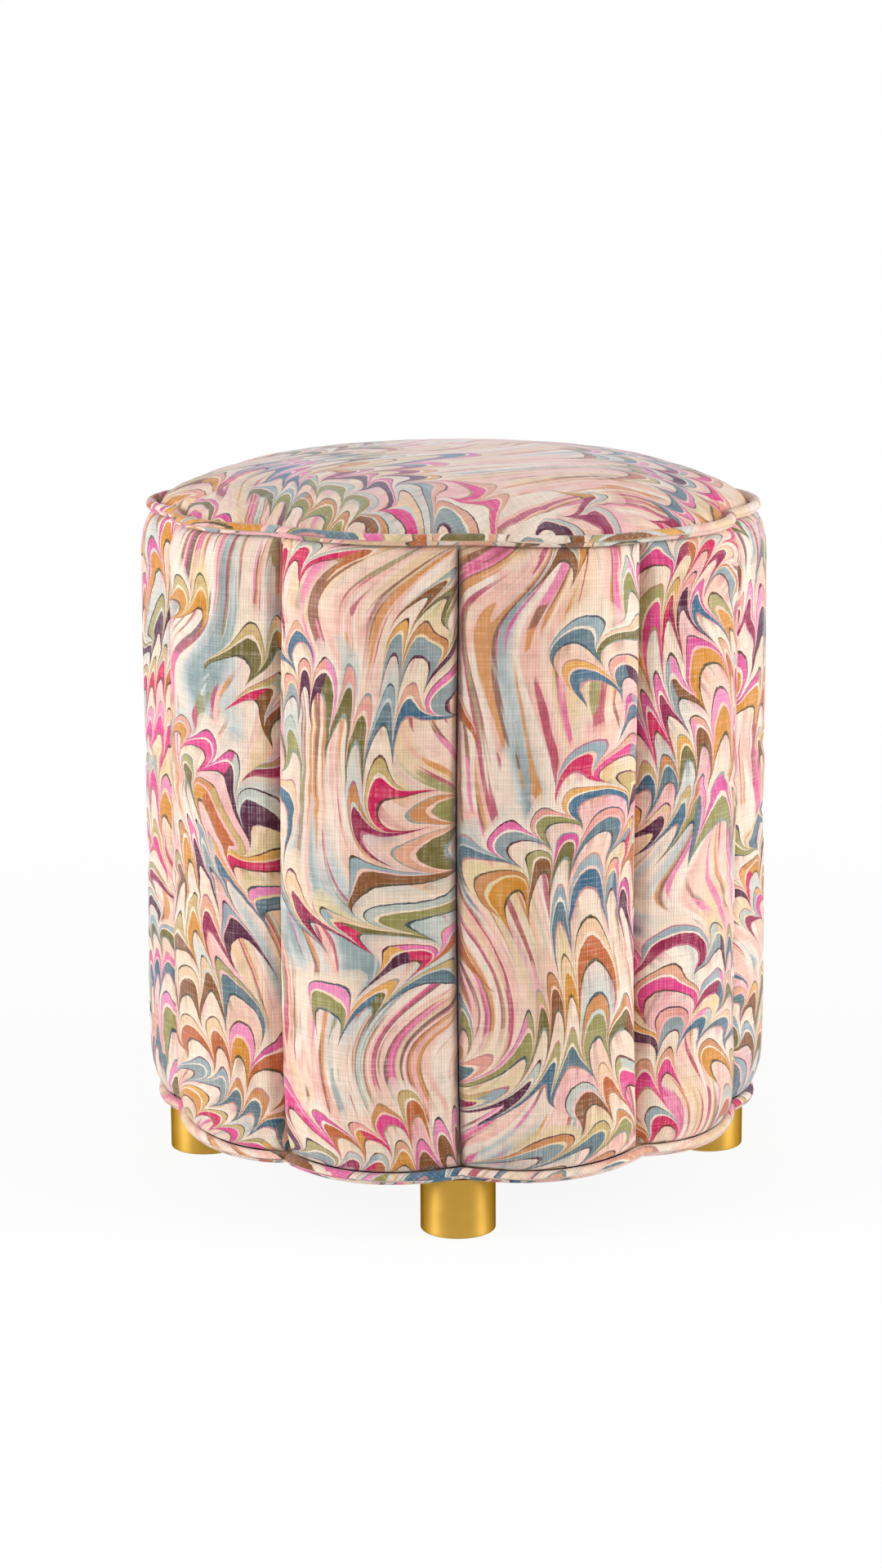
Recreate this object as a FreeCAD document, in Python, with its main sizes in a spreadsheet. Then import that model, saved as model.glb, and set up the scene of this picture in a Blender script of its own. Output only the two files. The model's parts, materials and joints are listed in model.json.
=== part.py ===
import FreeCAD, Part
import math
import os

import Sketcher

from FreeCAD import Placement, Rotation, Vector

# Scalloped drum ottoman: an upholstered drum of ten padded flutes on four round brass legs.
# The frame is plywood and timber, a hardboard drum carries the foam flutes, and a piped
# cover of ten side panels and one domed top panel is pulled over them. Millimetres, +Z up,
# the origin on the floor under the centre, and the front seam over the front leg at -Y.

# Every driving size, with what it measures
SIZES = [
    ("lobe_count", 10, "padded flutes round the body"),
    ("fit_clearance", 0.3, "gap between soft pieces that lie against each other"),
    ("bore_clearance", 0.1, "radial gap between a rod and the hole it goes into"),
    ("fabric_thickness", 1.2, "printed cover cloth"),
    ("drum_radius", 165, "outside of the hardboard drum"),
    ("drum_wall", 3, "hardboard thickness"),
    ("drum_joint_gap", 2, "butt joint where the bent hardboard meets itself"),
    ("pad_depth", 33, "flute crest beyond the drum, at the top of the straight side"),
    ("crease_depth", 17, "crest to crease between two flutes"),
    ("base_flare", 2, "how much further out the crests are at the base than at the top"),
    ("top_shoulder", 22, "height over which a flute rounds in to the top piping"),
    ("base_shoulder", 30, "height over which a flute rounds in to the base piping"),
    ("piping_diameter", 7, "corded welt, over its cloth"),
    ("piping_cloth", 1.2, "cloth round the piping cord"),
    ("rim_setback", 7, "flute crest to the top piping's centreline"),
    ("rim_scallop", 14, "crest to dent of the top piping's centreline"),
    ("base_rim_setback", 8.5, "flute crest to the base piping's centreline"),
    ("base_rim_scallop", 8.5, "crest to dent of the base piping's centreline"),
    ("seam_allowance", 9, "cloth beyond a seam, inside the body"),
    ("glide_proud", 0.6, "how far a foot glide stands out of its leg"),
    ("glide_height", 9, "glide from the floor to the top of its plug"),
    ("glide_recess", 1.5, "glide sole inside the leg's bore, all round"),
    ("leg_height", 37.4, "leg without its glide"),
    ("leg_diameter", 46, "round brass leg"),
    ("leg_wall", 2.5, "wall of the leg's skirt"),
    ("leg_head", 6, "solid metal at the top of the leg"),
    ("leg_edge", 0.8, "broken edge at the foot of the leg"),
    ("leg_setback", 18, "base piping at a dent to the leg's axis"),
    ("stud_diameter", 8, "leg stud"),
    ("stud_reach", 16, "stud above the leg"),
    ("insert_diameter", 12, "screw-in insert in the base board"),
    ("insert_length", 15, "insert, flush with the board's underside"),
    ("dust_cover_thickness", 0.8, "black cloth under the base"),
    ("dust_cover_margin", 5, "base piping's centreline to the edge of the dust cover"),
    ("turn_under", 9, "side panel turned under the base board"),
    ("base_board_thickness", 18, "plywood"),
    ("board_clearance", 0.9, "edge of the base board to the cloth round it"),
    ("seat_board_thickness", 15, "plywood"),
    ("frame_height", 300, "clear height between the boards"),
    ("upright_count", 4, "timber posts between the boards"),
    ("upright_width", 45, "post, round the drum"),
    ("upright_depth", 22, "post, towards the centre"),
    ("screw_diameter", 4.5, "frame screw shank"),
    ("screw_head", 11, "pan head"),
    ("screw_head_height", 3.5, "pan head, sunk flush in its board"),
    ("screw_length", 60, "frame screw"),
    ("vent_diameter", 25, "breathing hole in the seat board"),
    ("vent_circle", 82, "radius of the circle of breathing holes"),
    ("vent_count", 4, "breathing holes"),
    ("rim_rise", 46.5, "top of the seat board to the top piping's flange"),
    ("foam_edge_drop", 6, "top of the foam slab's side below the side panel's seam"),
    ("foam_bevel_rise", 28, "height of the foam slab's bevel"),
    ("foam_bevel_run", 55, "width of the foam slab's bevel"),
    ("crown_rise", 36.6, "seam of the top panel to the middle of the crown"),
]

# Where the sections of the soft forms are taken: a share of a shoulder's quarter turn,
# from the seam to the straight side, and a share of the crown's radius. A flute's arc is
# drawn as chords, which keeps the long lofts light.
SHOULDER_TURN = (0.0, 0.5, 1.0)
CROWN_SHARE = (1.0, 0.96, 0.84, 0.6, 0.28)
CROWN_FLATNESS = 2.8
CROWN_EDGE = 0.8
DENT_FADE = 3.0
FLUTE_CHORDS = 6
PIPING_SIDES = 8
CORD_SIDES = 6
FOAM_SIDES = 40
REACH = 1000.0
FULL_TURN = 360.0

LEG_ANGLES = {"front": -90, "right": 0, "back": 90, "left": 180}

doc = FreeCAD.newDocument("scalloped_ottoman")
sheet = doc.addObject("Spreadsheet::Sheet", "sizes")
sub_parts = []


def fill_sheet():
    """Writes each size to its own cell, with the size's name as the cell's alias."""
    for row, (name, value, note) in enumerate(SIZES, start=1):
        sheet.set(f"A{row}", name)
        sheet.set(f"B{row}", str(value))
        sheet.set(f"C{row}", note)
        sheet.setAlias(f"B{row}", name)
    doc.recompute()


def size(name):
    """The value of one cell."""
    return float(getattr(sheet, name))


def value(expression):
    """The number that an expression on the sheet comes to."""
    return float(sheet.evalExpression(expression))


fill_sheet()

clear = size("fit_clearance")
cloth = size("fabric_thickness")
lobes = int(size("lobe_count"))
half_lobe = math.pi / lobes
welt = size("piping_diameter") / 2
cord_radius = welt - size("piping_cloth") - size("bore_clearance")

# Heights of the layers, from the floor up, as expressions on the sheet
DECK = "sizes.glide_proud + sizes.leg_height"
FLANGE = f"{DECK} + sizes.dust_cover_thickness"
HEM = f"{FLANGE} + sizes.fabric_thickness"
BOARD = f"{HEM} + sizes.fabric_thickness"
BOARD_TOP = f"{BOARD} + sizes.base_board_thickness"
SEAT = f"{BOARD_TOP} + sizes.frame_height"
SEAT_TOP = f"{SEAT} + sizes.seat_board_thickness"
RIM_FLANGE = f"{SEAT_TOP} + sizes.rim_rise"

deck_level = value(DECK)
flange_level = value(FLANGE)
hem_level = value(HEM)
board_level = value(BOARD)
board_top = value(BOARD_TOP)
seat_top = value(SEAT_TOP)
rim_flange_level = value(RIM_FLANGE)
crown_level = rim_flange_level + cloth
rim_level = rim_flange_level + clear + welt
base_rim_level = deck_level + clear + welt
panel_low = base_rim_level + welt + clear
panel_high = rim_flange_level


# An outline is a crest radius and a dent radius: equal arcs that meet in a point at each dent


def arc_of(outline):
    """Distance of an arc's centre from the axis, and the arc's radius."""
    crest, dent = outline
    centre = (crest**2 - dent**2) / (2 * (crest - dent * math.cos(half_lobe)))
    return centre, crest - centre


def inset(outline, distance):
    """The outline moved inwards by a distance, square to its arcs."""
    centre, radius = arc_of(outline)
    radius -= distance
    along = centre * math.cos(half_lobe)
    across = centre * math.sin(half_lobe)
    return outline[0] - distance, along + math.sqrt(radius**2 - across**2)


def between(first, second, share):
    """The outline that lies a share of the way from the first to the second."""
    return tuple(a + (b - a) * share for a, b in zip(first, second))


top_crest = size("drum_radius") + size("pad_depth")
base_crest = top_crest + size("base_flare")
side_top = (top_crest, top_crest - size("crease_depth"))
side_base = (base_crest, base_crest - size("crease_depth"))
rim_crest = top_crest - size("rim_setback")
rim = (rim_crest, rim_crest - size("rim_scallop"))
base_rim_crest = base_crest - size("base_rim_setback")
base_rim = (base_rim_crest, base_rim_crest - size("base_rim_scallop"))
rim_seam = inset(rim, welt + clear)
base_seam = inset(base_rim, welt + clear)
board_room = inset(base_seam, cloth)
seam_core = size("drum_radius") + clear * 2


def polar(radius, angle, z=0.0):
    """A point at a radius and an angle about the body's axis."""
    return Vector(radius * math.cos(angle), radius * math.sin(angle), z)


def arc_points(outline, z, side_gap=0.0, angle=0.0):
    """Points along one flute's arc, from seam to seam, with the flute turned to an angle.

    side_gap is how far the ends stand off the planes of the seams.
    """
    centre, radius = arc_of(outline)
    along = centre * math.cos(half_lobe)
    across = centre * math.sin(half_lobe)
    reach = along + math.sqrt(radius**2 - (across - side_gap) ** 2)
    end = polar(reach, half_lobe) + polar(side_gap, half_lobe - math.pi / 2)
    sweep = math.atan2(end.y, end.x - centre)
    points = []
    for k in range(FLUTE_CHORDS + 1):
        turn = sweep * (2 * k / FLUTE_CHORDS - 1)
        x, y = centre + radius * math.cos(turn), radius * math.sin(turn)
        points.append(polar(math.hypot(x, y), math.atan2(y, x) + angle, z))
    return points


def scalloped_ring(outline, z):
    """The points of the outline of all the flutes at one height."""
    points = []
    for k in range(lobes):
        points += arc_points(outline, z, angle=2 * half_lobe * k)[:-1]
    return points


def flat_face(points):
    """A face inside a closed line of points."""
    return Part.Face(Part.makePolygon(points + points[:1]))


def scalloped_prism(outline, low, high):
    """A solid with the outline from one height to another."""
    return flat_face(scalloped_ring(outline, low)).extrude(Vector(0, 0, high - low))


def faceted_solid(rings):
    """A solid through rings of points, one above the other, in flat facets.

    Four neighbouring points make two triangles, parted along the shorter diagonal. Facets
    that lie in one plane are joined.
    """
    faces = [flat_face(rings[0]), flat_face(rings[-1])]
    for low, high in zip(rings, rings[1:]):
        for k, start in enumerate(low):
            after = (k + 1) % len(low)
            if (start - high[after]).Length < (low[after] - high[k]).Length:
                faces.append(flat_face([start, low[after], high[after]]))
                faces.append(flat_face([start, high[after], high[k]]))
            else:
                faces.append(flat_face([start, low[after], high[k]]))
                faces.append(flat_face([low[after], high[after], high[k]]))
    shell = Part.Shell(faces)
    shell.sewShape()
    solid = Part.Solid(Part.Shell(shell.Faces))
    if solid.Volume < 0:
        solid.reverse()
    return solid.removeSplitter()


def flute_solid(depth, core, side_gap):
    """A flute from seam to seam about +X, with its face a depth below the cover's outer face.

    The shoulders are quarter ellipses: they leave the seams level and end upright. core is
    the radius of the flute's back, and side_gap how far its sides stand off the planes of
    the seams.
    """
    low, high = panel_low + depth, panel_high - depth
    low_seam, high_seam = inset(base_seam, depth), inset(rim_seam, depth)
    low_side, high_side = inset(side_base, depth), inset(side_top, depth)
    sections = []
    for turn in SHOULDER_TURN:
        angle = turn * math.pi / 2
        z = low + (size("base_shoulder") - depth) * (1 - math.cos(angle))
        sections.append((between(low_seam, low_side, math.sin(angle)), z))
    for turn in reversed(SHOULDER_TURN):
        angle = turn * math.pi / 2
        z = high - (size("top_shoulder") - depth) * (1 - math.cos(angle))
        sections.append((between(high_seam, high_side, math.sin(angle)), z))
    rings = []
    for outline, z in sections:
        tip = Vector(side_gap / math.sin(half_lobe), 0, z)
        rings.append([tip] + arc_points(outline, z, side_gap))
    return faceted_solid(rings).cut(drum_cylinder(core, 0, rim_level))


def drum_cylinder(radius, low, high):
    """An upright cylinder on the body's axis."""
    return Part.makeCylinder(radius, high - low, Vector(0, 0, low))


def seam_wedge(low, high, side_gap=0.0):
    """The space between the two seam planes of the flute about +X."""
    tip = Vector(side_gap / math.sin(half_lobe), 0, low)
    far = REACH / math.cos(half_lobe)
    left, right = tip + polar(far, half_lobe), tip + polar(far, -half_lobe)
    face = Part.Face(Part.makePolygon([tip, right, left, tip]))
    return face.extrude(Vector(0, 0, high - low))


def side_panel_shape():
    """One side panel: its padded face, seam allowances, and the hem turned under the board."""
    shell = flute_solid(0, seam_core, 0)
    shell = shell.cut(flute_solid(cloth, seam_core - cloth, cloth))
    shell = shell.cut(scalloped_prism(board_room, board_level, board_top + clear))
    band = scalloped_prism(base_seam, hem_level, panel_low + cloth)
    band = band.cut(scalloped_prism(board_room, board_level, panel_low + 2 * cloth))
    hem_inner = base_seam[1] - size("turn_under")
    band = band.cut(drum_cylinder(hem_inner, 0, rim_level))
    band = band.common(seam_wedge(0, rim_level))
    return shell.fuse(band).removeSplitter()


def flute_pad_shape():
    """The foam behind a side panel, from the drum to the cloth, lapped over the base board's edge."""
    depth = cloth + clear
    foam = flute_solid(depth, size("drum_radius") + clear, depth)
    return foam.cut(scalloped_prism(board_room, board_level, board_top + clear))


def crown_solid(outline, low, rise, shares):
    """The domed top: outlines that shrink to the middle, where the dents have faded out."""
    crest, dent = outline
    rings = []
    for share in shares:
        scallop = (crest - dent) * share**DENT_FADE
        height = low + rise * (1 - share**CROWN_FLATNESS) ** CROWN_EDGE
        rings.append(scalloped_ring((crest * share, crest * share - scallop), height))
    return faceted_solid(rings)


def seam_band(depth, inner):
    """The flat ring under the crown, up to a depth above the seam, outside an inner radius."""
    ring = drum_cylinder(top_crest, crown_level, crown_level + depth)
    return ring.cut(drum_cylinder(inner, 0, crown_level + depth))


def top_panel_shape():
    """The domed panel, with its seam allowance over the piping's flange."""
    crown = crown_solid(rim_seam, crown_level, size("crown_rise"), CROWN_SHARE)
    hollow = crown_solid(inset(rim_seam, cloth), crown_level, size("crown_rise") - cloth, CROWN_SHARE)
    return crown.cut(hollow.cut(seam_band(cloth, rim_seam[1] - size("seam_allowance"))))


def foam_slab(gap):
    """The foam slab grown by a gap: knife-cut with flat sides and a bevelled upper edge."""
    side = rim_flange_level - cloth - size("foam_edge_drop") + gap
    top = side + size("foam_bevel_rise")
    radius = size("drum_radius") - clear + gap
    rings = []
    for reach, z in ((radius, seat_top), (radius, side), (radius - size("foam_bevel_run"), top)):
        rings.append([polar(reach, math.pi * k / (FOAM_SIDES / 2), z) for k in range(FOAM_SIDES)])
    return faceted_solid(rings)


def crown_wadding_shape():
    """The fibre layer that fills the crown between the foam slab and the top panel."""
    depth = cloth + clear
    crown = crown_solid(inset(rim_seam, depth), crown_level, size("crown_rise") - depth, CROWN_SHARE)
    plug_radius = rim_seam[1] - size("seam_allowance") - clear
    crown = crown.cut(seam_band(depth, plug_radius))
    plug = drum_cylinder(plug_radius, seat_top + clear, crown_level + depth)
    return crown.fuse(plug).cut(foam_slab(clear))


def lobed_ring(outline, level, radius, sides):
    """A round bar along the outline, mitred at each dent."""
    centre, arc = arc_of(outline)
    end = polar(outline[1], half_lobe) - Vector(centre, 0, 0)
    sweep = math.atan2(end.y, end.x)
    sections = []
    for k in range(-1, FLUTE_CHORDS + 2):
        turn = sweep * (2 * k / FLUTE_CHORDS - 1)
        points = []
        for side in range(sides + 1):
            roll = 2 * math.pi * (side + 0.5) / sides
            place = polar(arc + radius * math.cos(roll), turn, level + radius * math.sin(roll))
            points.append(place + Vector(centre, 0, 0))
        sections.append(Part.makePolygon(points))
    one = Part.makeLoft(sections, True, True).common(seam_wedge(0, rim_level + size("crown_rise")))
    turned = []
    for k in range(lobes):
        copy = one.copy()
        copy.rotate(Vector(), Vector(0, 0, 1), FULL_TURN * k / lobes)
        turned.append(copy)
    return turned[0].multiFuse(turned[1:]).removeSplitter()


def piping_shape(outline, level, flange_low, flange_inner):
    """A welt: a cloth tube along the outline, mitred at each dent, and its sewn flange."""
    tube = lobed_ring(outline, level, welt, PIPING_SIDES)
    flange = scalloped_prism(outline, flange_low, flange_low + cloth)
    flange = flange.cut(drum_cylinder(flange_inner, 0, rim_level))
    bore = lobed_ring(outline, level, cord_radius + size("bore_clearance"), CORD_SIDES)
    return tube.fuse(flange).cut(bore)


def cord_shape(outline, level):
    """The cord inside a welt."""
    return lobed_ring(outline, level, cord_radius, CORD_SIDES)


def seat_foam_shape():
    """The foam slab on the seat board, with its upper edge bevelled."""
    return foam_slab(0)


# Document objects: bodies with sketches where a piece is cut, padded or drilled

# The base piping's arcs, as expressions: all outlines under the body share their centres
BASE_CREST = "(sizes.drum_radius + sizes.pad_depth + sizes.base_flare - sizes.base_rim_setback)"
BASE_DENT = f"({BASE_CREST} - sizes.base_rim_scallop)"
HALF_COSINE = "cos(180 deg / sizes.lobe_count)"
BASE_CENTRE = f"({BASE_CREST}^2 - {BASE_DENT}^2) / (2 * ({BASE_CREST} - {BASE_DENT} * {HALF_COSINE}))"
BASE_ARC = f"({BASE_CREST} - {BASE_CENTRE})"
SEAM_ARC = f"{BASE_ARC} - sizes.piping_diameter / 2 - sizes.fit_clearance"
BOARD_ARC = f"{SEAM_ARC} - sizes.fabric_thickness - sizes.board_clearance"
LEG_CIRCLE = f"({BASE_DENT} - sizes.leg_setback)"
DRUM_BORE = "(sizes.drum_radius - sizes.drum_wall)"
POST_FACE = f"sqrt(({DRUM_BORE} - sizes.fit_clearance)^2 - (sizes.upright_width / 2)^2)"
POST_MIDDLE = f"({POST_FACE} - sizes.upright_depth / 2)"
LEG_BORE = "(sizes.leg_diameter - 2 * sizes.leg_wall)"
STUD_HOLE = "sizes.stud_diameter + 2 * sizes.bore_clearance"


def add_part(name, shape, angle=0.0):
    """A piece whose form is worked out above, turned about the body's axis."""
    piece = doc.addObject("Part::Feature", name)
    piece.Label = name
    piece.Shape = shape
    piece.Placement = Placement(Vector(), Rotation(Vector(0, 0, 1), angle))
    sub_parts.append(piece)
    return piece


def add_body(name, x="", y="", z="", angle=0.0):
    """An empty body, placed by expressions on the sheet."""
    body = doc.addObject("PartDesign::Body", name)
    body.Label = name
    body.Placement = Placement(Vector(), Rotation(Vector(0, 0, 1), angle))
    for axis, expression in (("x", x), ("y", y), ("z", z)):
        if expression:
            body.setExpression(f"Placement.Base.{axis}", expression)
    return body


def origin_feature(body, role):
    """One of the body's own planes or axes, by its role."""
    return next(f for f in body.Origin.OriginFeatures if f.Role == role)


def add_sketch(body, name, height=""):
    """A sketch on the body's level plane, raised by an expression if one is given."""
    sketch = body.newObject("Sketcher::SketchObject", name)
    sketch.AttachmentSupport = (origin_feature(body, "XY_Plane"), [""])
    sketch.MapMode = "FlatFace"
    if height:
        sketch.setExpression("AttachmentOffset.Base.z", height)
    return sketch


def bind(sketch, constraint, name, expression):
    """Adds a sized constraint to the sketch and ties it to the sheet."""
    index = sketch.addConstraint(constraint)
    sketch.renameConstraint(index, name)
    sketch.setExpression(f"Constraints.{name}", expression)


def circle_sketch(body, name, diameter, reach="", height=""):
    """A sketch of one circle, on the axis or at a distance from it along +X."""
    sketch = add_sketch(body, name, height)
    start = value(reach) if reach else 0.0
    sketch.addGeometry(Part.Circle(Vector(start, 0, 0), Vector(0, 0, 1), value(diameter) / 2))
    if reach:
        sketch.addConstraint(Sketcher.Constraint("PointOnObject", 0, 3, -1))
        bind(sketch, Sketcher.Constraint("DistanceX", -1, 1, 0, 3, start), "reach", reach)
    else:
        sketch.addConstraint(Sketcher.Constraint("Coincident", 0, 3, -1, 1))
    bind(sketch, Sketcher.Constraint("Diameter", 0, value(diameter)), "across", diameter)
    return sketch


def box_sketch(body, name, far, depth, width):
    """A sketch of a rectangle that lies across +X, up to a distance from the axis."""
    sketch = add_sketch(body, name)
    x_far, half = value(far), value(width) / 2
    x_near = x_far - value(depth)
    corners = [Vector(x_near, -half), Vector(x_far, -half), Vector(x_far, half), Vector(x_near, half)]
    for k in range(4):
        sketch.addGeometry(Part.LineSegment(corners[k], corners[(k + 1) % 4]))
    for k, direction in ((0, "Horizontal"), (2, "Horizontal"), (3, "Vertical")):
        sketch.addConstraint(Sketcher.Constraint(direction, k))
    for k in range(4):
        sketch.addConstraint(Sketcher.Constraint("Coincident", k, 2, (k + 1) % 4, 1))
    sketch.addConstraint(Sketcher.Constraint("Symmetric", 0, 2, 1, 2, -1))
    bind(sketch, Sketcher.Constraint("DistanceX", -1, 1, 0, 2, x_far), "far", far)
    bind(sketch, Sketcher.Constraint("DistanceX", 0, 1, 0, 2, value(depth)), "depth", depth)
    bind(sketch, Sketcher.Constraint("DistanceY", 1, 1, 1, 2, 2 * half), "width", width)
    return sketch


def sector_sketch(body, name, centre, radius):
    """One flute's share of a scalloped board: two lines from the axis and the outer arc."""
    sketch = add_sketch(body, name)
    outline = (value(centre) + value(radius), 0)
    along, across = value(centre) * math.cos(half_lobe), value(centre) * math.sin(half_lobe)
    dent = along + math.sqrt(value(radius) ** 2 - across**2)
    start, end = polar(dent, -half_lobe), polar(dent, half_lobe)
    sketch.addGeometry(Part.LineSegment(Vector(0, 0, 0), start))
    sketch.addGeometry(Part.LineSegment(end, Vector(0, 0, 0)))
    sketch.addGeometry(Part.Arc(start, Vector(outline[0], 0, 0), end))
    sketch.addConstraint(Sketcher.Constraint("Coincident", 0, 1, -1, 1))
    sketch.addConstraint(Sketcher.Constraint("Coincident", 1, 2, -1, 1))
    sketch.addConstraint(Sketcher.Constraint("Coincident", 0, 2, 2, 1))
    sketch.addConstraint(Sketcher.Constraint("Coincident", 1, 1, 2, 2))
    bind(sketch, Sketcher.Constraint("DistanceX", -1, 1, 2, 3, value(centre)), "centre", centre)
    bind(sketch, Sketcher.Constraint("Radius", 2, value(radius)), "lobe", radius)
    sketch.addConstraint(Sketcher.Constraint("Symmetric", 0, 2, 1, 1, -1))
    share = Sketcher.Constraint("Angle", 0, -half_lobe)
    bind(sketch, share, "half_share", "-180 deg / sizes.lobe_count")
    return sketch


def pad(body, sketch, length):
    """Raises a sketch by a length from the sheet."""
    feature = body.newObject("PartDesign::Pad", f"{sketch.Name}_pad")
    feature.Profile = sketch
    feature.setExpression("Length", length)
    doc.recompute()
    return feature


def pocket(body, sketch, depth="", upward=True):
    """Cuts a sketch into the body, by a depth or right through, and checks that it cut."""
    before = body.Shape.Volume
    feature = body.newObject("PartDesign::Pocket", f"{sketch.Name}_pocket")
    feature.Profile = sketch
    feature.Reversed = upward
    if depth:
        feature.setExpression("Length", depth)
    else:
        feature.Type = "ThroughAll"
    doc.recompute()
    if not feature.Shape.Volume < before:
        raise RuntimeError(f"{feature.Name} cuts nothing")
    return feature


def screw_seats(body, name, height, upward):
    """Clearance holes for the frame screws, with a seat that sinks each head."""
    for part, across, depth in (
        ("shank", "sizes.screw_diameter", ""),
        ("head", "sizes.screw_head", "sizes.screw_head_height"),
    ):
        width = f"{across} + 2 * sizes.bore_clearance"
        hole = pocket(body, circle_sketch(body, f"{name}_{part}", width, POST_MIDDLE, height), depth, upward)
        pattern(body, [hole], "sizes.upright_count")


def pattern(body, features, count):
    """Repeats features evenly round the body's axis."""
    feature = body.newObject("PartDesign::PolarPattern", f"{features[0].Name}_round")
    feature.Originals = features
    feature.Axis = (origin_feature(body, "Z_Axis"), [""])
    feature.Angle = FULL_TURN
    if isinstance(count, str):
        feature.setExpression("Occurrences", count)
    else:
        feature.Occurrences = count
    body.Tip = feature
    doc.recompute()
    return feature


def broken_edge(body, base, edges, width):
    """Chamfers the named edges of a feature."""
    feature = body.newObject("PartDesign::Chamfer", f"{body.Name}_edge")
    feature.Base = (base, edges)
    feature.setExpression("Size", width)
    doc.recompute()
    return feature


def edge_names(shape, wanted):
    """Names of the edges for which a test holds."""
    return [f"Edge{k}" for k, edge in enumerate(shape.Edges, start=1) if wanted(edge)]


def make_base_board():
    """Plywood with the scalloped outline, insert holes for the legs and screw holes for the posts."""
    body = add_body("base_board", z=BOARD)
    share = pad(body, sector_sketch(body, "board_share", BASE_CENTRE, BOARD_ARC), "sizes.base_board_thickness")
    pattern(body, [share], "sizes.lobe_count")
    hole = "sizes.insert_diameter + 2 * sizes.bore_clearance"
    depth = "sizes.insert_length + sizes.fit_clearance"
    insert = pocket(body, circle_sketch(body, "insert_hole", hole, LEG_CIRCLE), depth)
    pattern(body, [insert], len(LEG_ANGLES))
    screw_seats(body, "base_screw", "", True)
    sub_parts.append(body)


def make_seat_board():
    """Round plywood top of the frame, with breathing holes and screw holes for the posts."""
    body = add_body("seat_board", z=SEAT)
    across = f"2 * ({DRUM_BORE} - sizes.fit_clearance)"
    pad(body, circle_sketch(body, "seat_disc", across), "sizes.seat_board_thickness")
    vent = pocket(body, circle_sketch(body, "vent", "sizes.vent_diameter", "sizes.vent_circle"))
    pattern(body, [vent], "sizes.vent_count")
    screw_seats(body, "seat_screw", "sizes.seat_board_thickness", False)
    sub_parts.append(body)


def make_drum():
    """Hardboard bent round the posts and the seat board, with its butt joint on a post."""
    body = add_body("drum_wrap", z=BOARD_TOP)
    height = "sizes.frame_height + sizes.seat_board_thickness"
    pad(body, circle_sketch(body, "drum_outside", "2 * sizes.drum_radius"), height)
    pocket(body, circle_sketch(body, "drum_bore", f"2 * {DRUM_BORE}"))
    far = "sizes.drum_radius + sizes.drum_wall"
    pocket(body, box_sketch(body, "drum_joint", far, "3 * sizes.drum_wall", "sizes.drum_joint_gap"))
    sub_parts.append(body)


def make_uprights():
    """Planed timber posts between the boards, with pilot holes for the screws."""
    count = int(size("upright_count"))
    for k in range(count):
        body = add_body(f"upright_{k + 1}", z=BOARD_TOP, angle=FULL_TURN * k / count)
        outline = box_sketch(body, f"post_{k}", POST_FACE, "sizes.upright_depth", "sizes.upright_width")
        pad(body, outline, "sizes.frame_height")
        bore = "sizes.screw_diameter + 2 * sizes.bore_clearance"
        low = circle_sketch(body, f"low_pilot_{k}", bore, POST_MIDDLE)
        pocket(body, low, "sizes.screw_length - sizes.base_board_thickness + sizes.fit_clearance")
        high = circle_sketch(body, f"high_pilot_{k}", bore, POST_MIDDLE, "sizes.frame_height")
        pocket(body, high, "sizes.screw_length - sizes.seat_board_thickness + sizes.fit_clearance", False)
        sub_parts.append(body)


def make_frame_screws():
    """Pan head wood screws, one at each end of each post."""
    head, shank = size("screw_head") / 2, size("screw_diameter") / 2
    head_height, length = size("screw_head_height"), size("screw_length")
    half_section = [
        Vector(0, 0, 0),
        Vector(head, 0, 0),
        Vector(head, 0, head_height),
        Vector(shank, 0, head_height),
        Vector(shank, 0, length),
        Vector(0, 0, length),
        Vector(0, 0, 0),
    ]
    screw = Part.Face(Part.makePolygon(half_section)).revolve(Vector(), Vector(0, 0, 1), FULL_TURN)
    screws = []
    for k in range(int(size("upright_count"))):
        for start, direction in ((board_level, 0), (seat_top, 180)):
            copy = screw.copy()
            copy.rotate(Vector(), Vector(1, 0, 0), direction)
            copy.translate(Vector(value(POST_MIDDLE), 0, start))
            copy.rotate(Vector(), Vector(0, 0, 1), FULL_TURN * k / size("upright_count"))
            screws.append(copy)
    add_part("frame_screws", Part.makeCompound(screws))


def make_dust_cover():
    """Black cloth under the base, over the edges of the piping and the side panels."""
    body = add_body("dust_cover", z=DECK)
    outline = sector_sketch(body, "cover_share", BASE_CENTRE, f"{BASE_ARC} - sizes.dust_cover_margin")
    share = pad(body, outline, "sizes.dust_cover_thickness")
    pattern(body, [share], "sizes.lobe_count")
    stud = pocket(body, circle_sketch(body, "stud_hole", STUD_HOLE, LEG_CIRCLE))
    pattern(body, [stud], len(LEG_ANGLES))
    sub_parts.append(body)


def leg_place(angle):
    """Where a leg's axis stands, as expressions on the sheet."""
    return f"{LEG_CIRCLE} * cos({angle} deg)", f"{LEG_CIRCLE} * sin({angle} deg)"


def make_leg(side, angle):
    """A round leg: a turned brass cup with a hole in its head for the stud."""
    leg = add_body(f"leg_{side}", *leg_place(angle), "sizes.glide_proud")
    post = pad(leg, circle_sketch(leg, f"{side}_leg", "sizes.leg_diameter"), "sizes.leg_height")
    foot = edge_names(post.Shape, lambda edge: edge.BoundBox.ZMax < clear)
    broken_edge(leg, post, foot, "sizes.leg_edge")
    pocket(leg, circle_sketch(leg, f"{side}_leg_bore", LEG_BORE), "sizes.leg_height - sizes.leg_head")
    pocket(leg, circle_sketch(leg, f"{side}_stud_hole", STUD_HOLE))
    sub_parts.append(leg)


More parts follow.
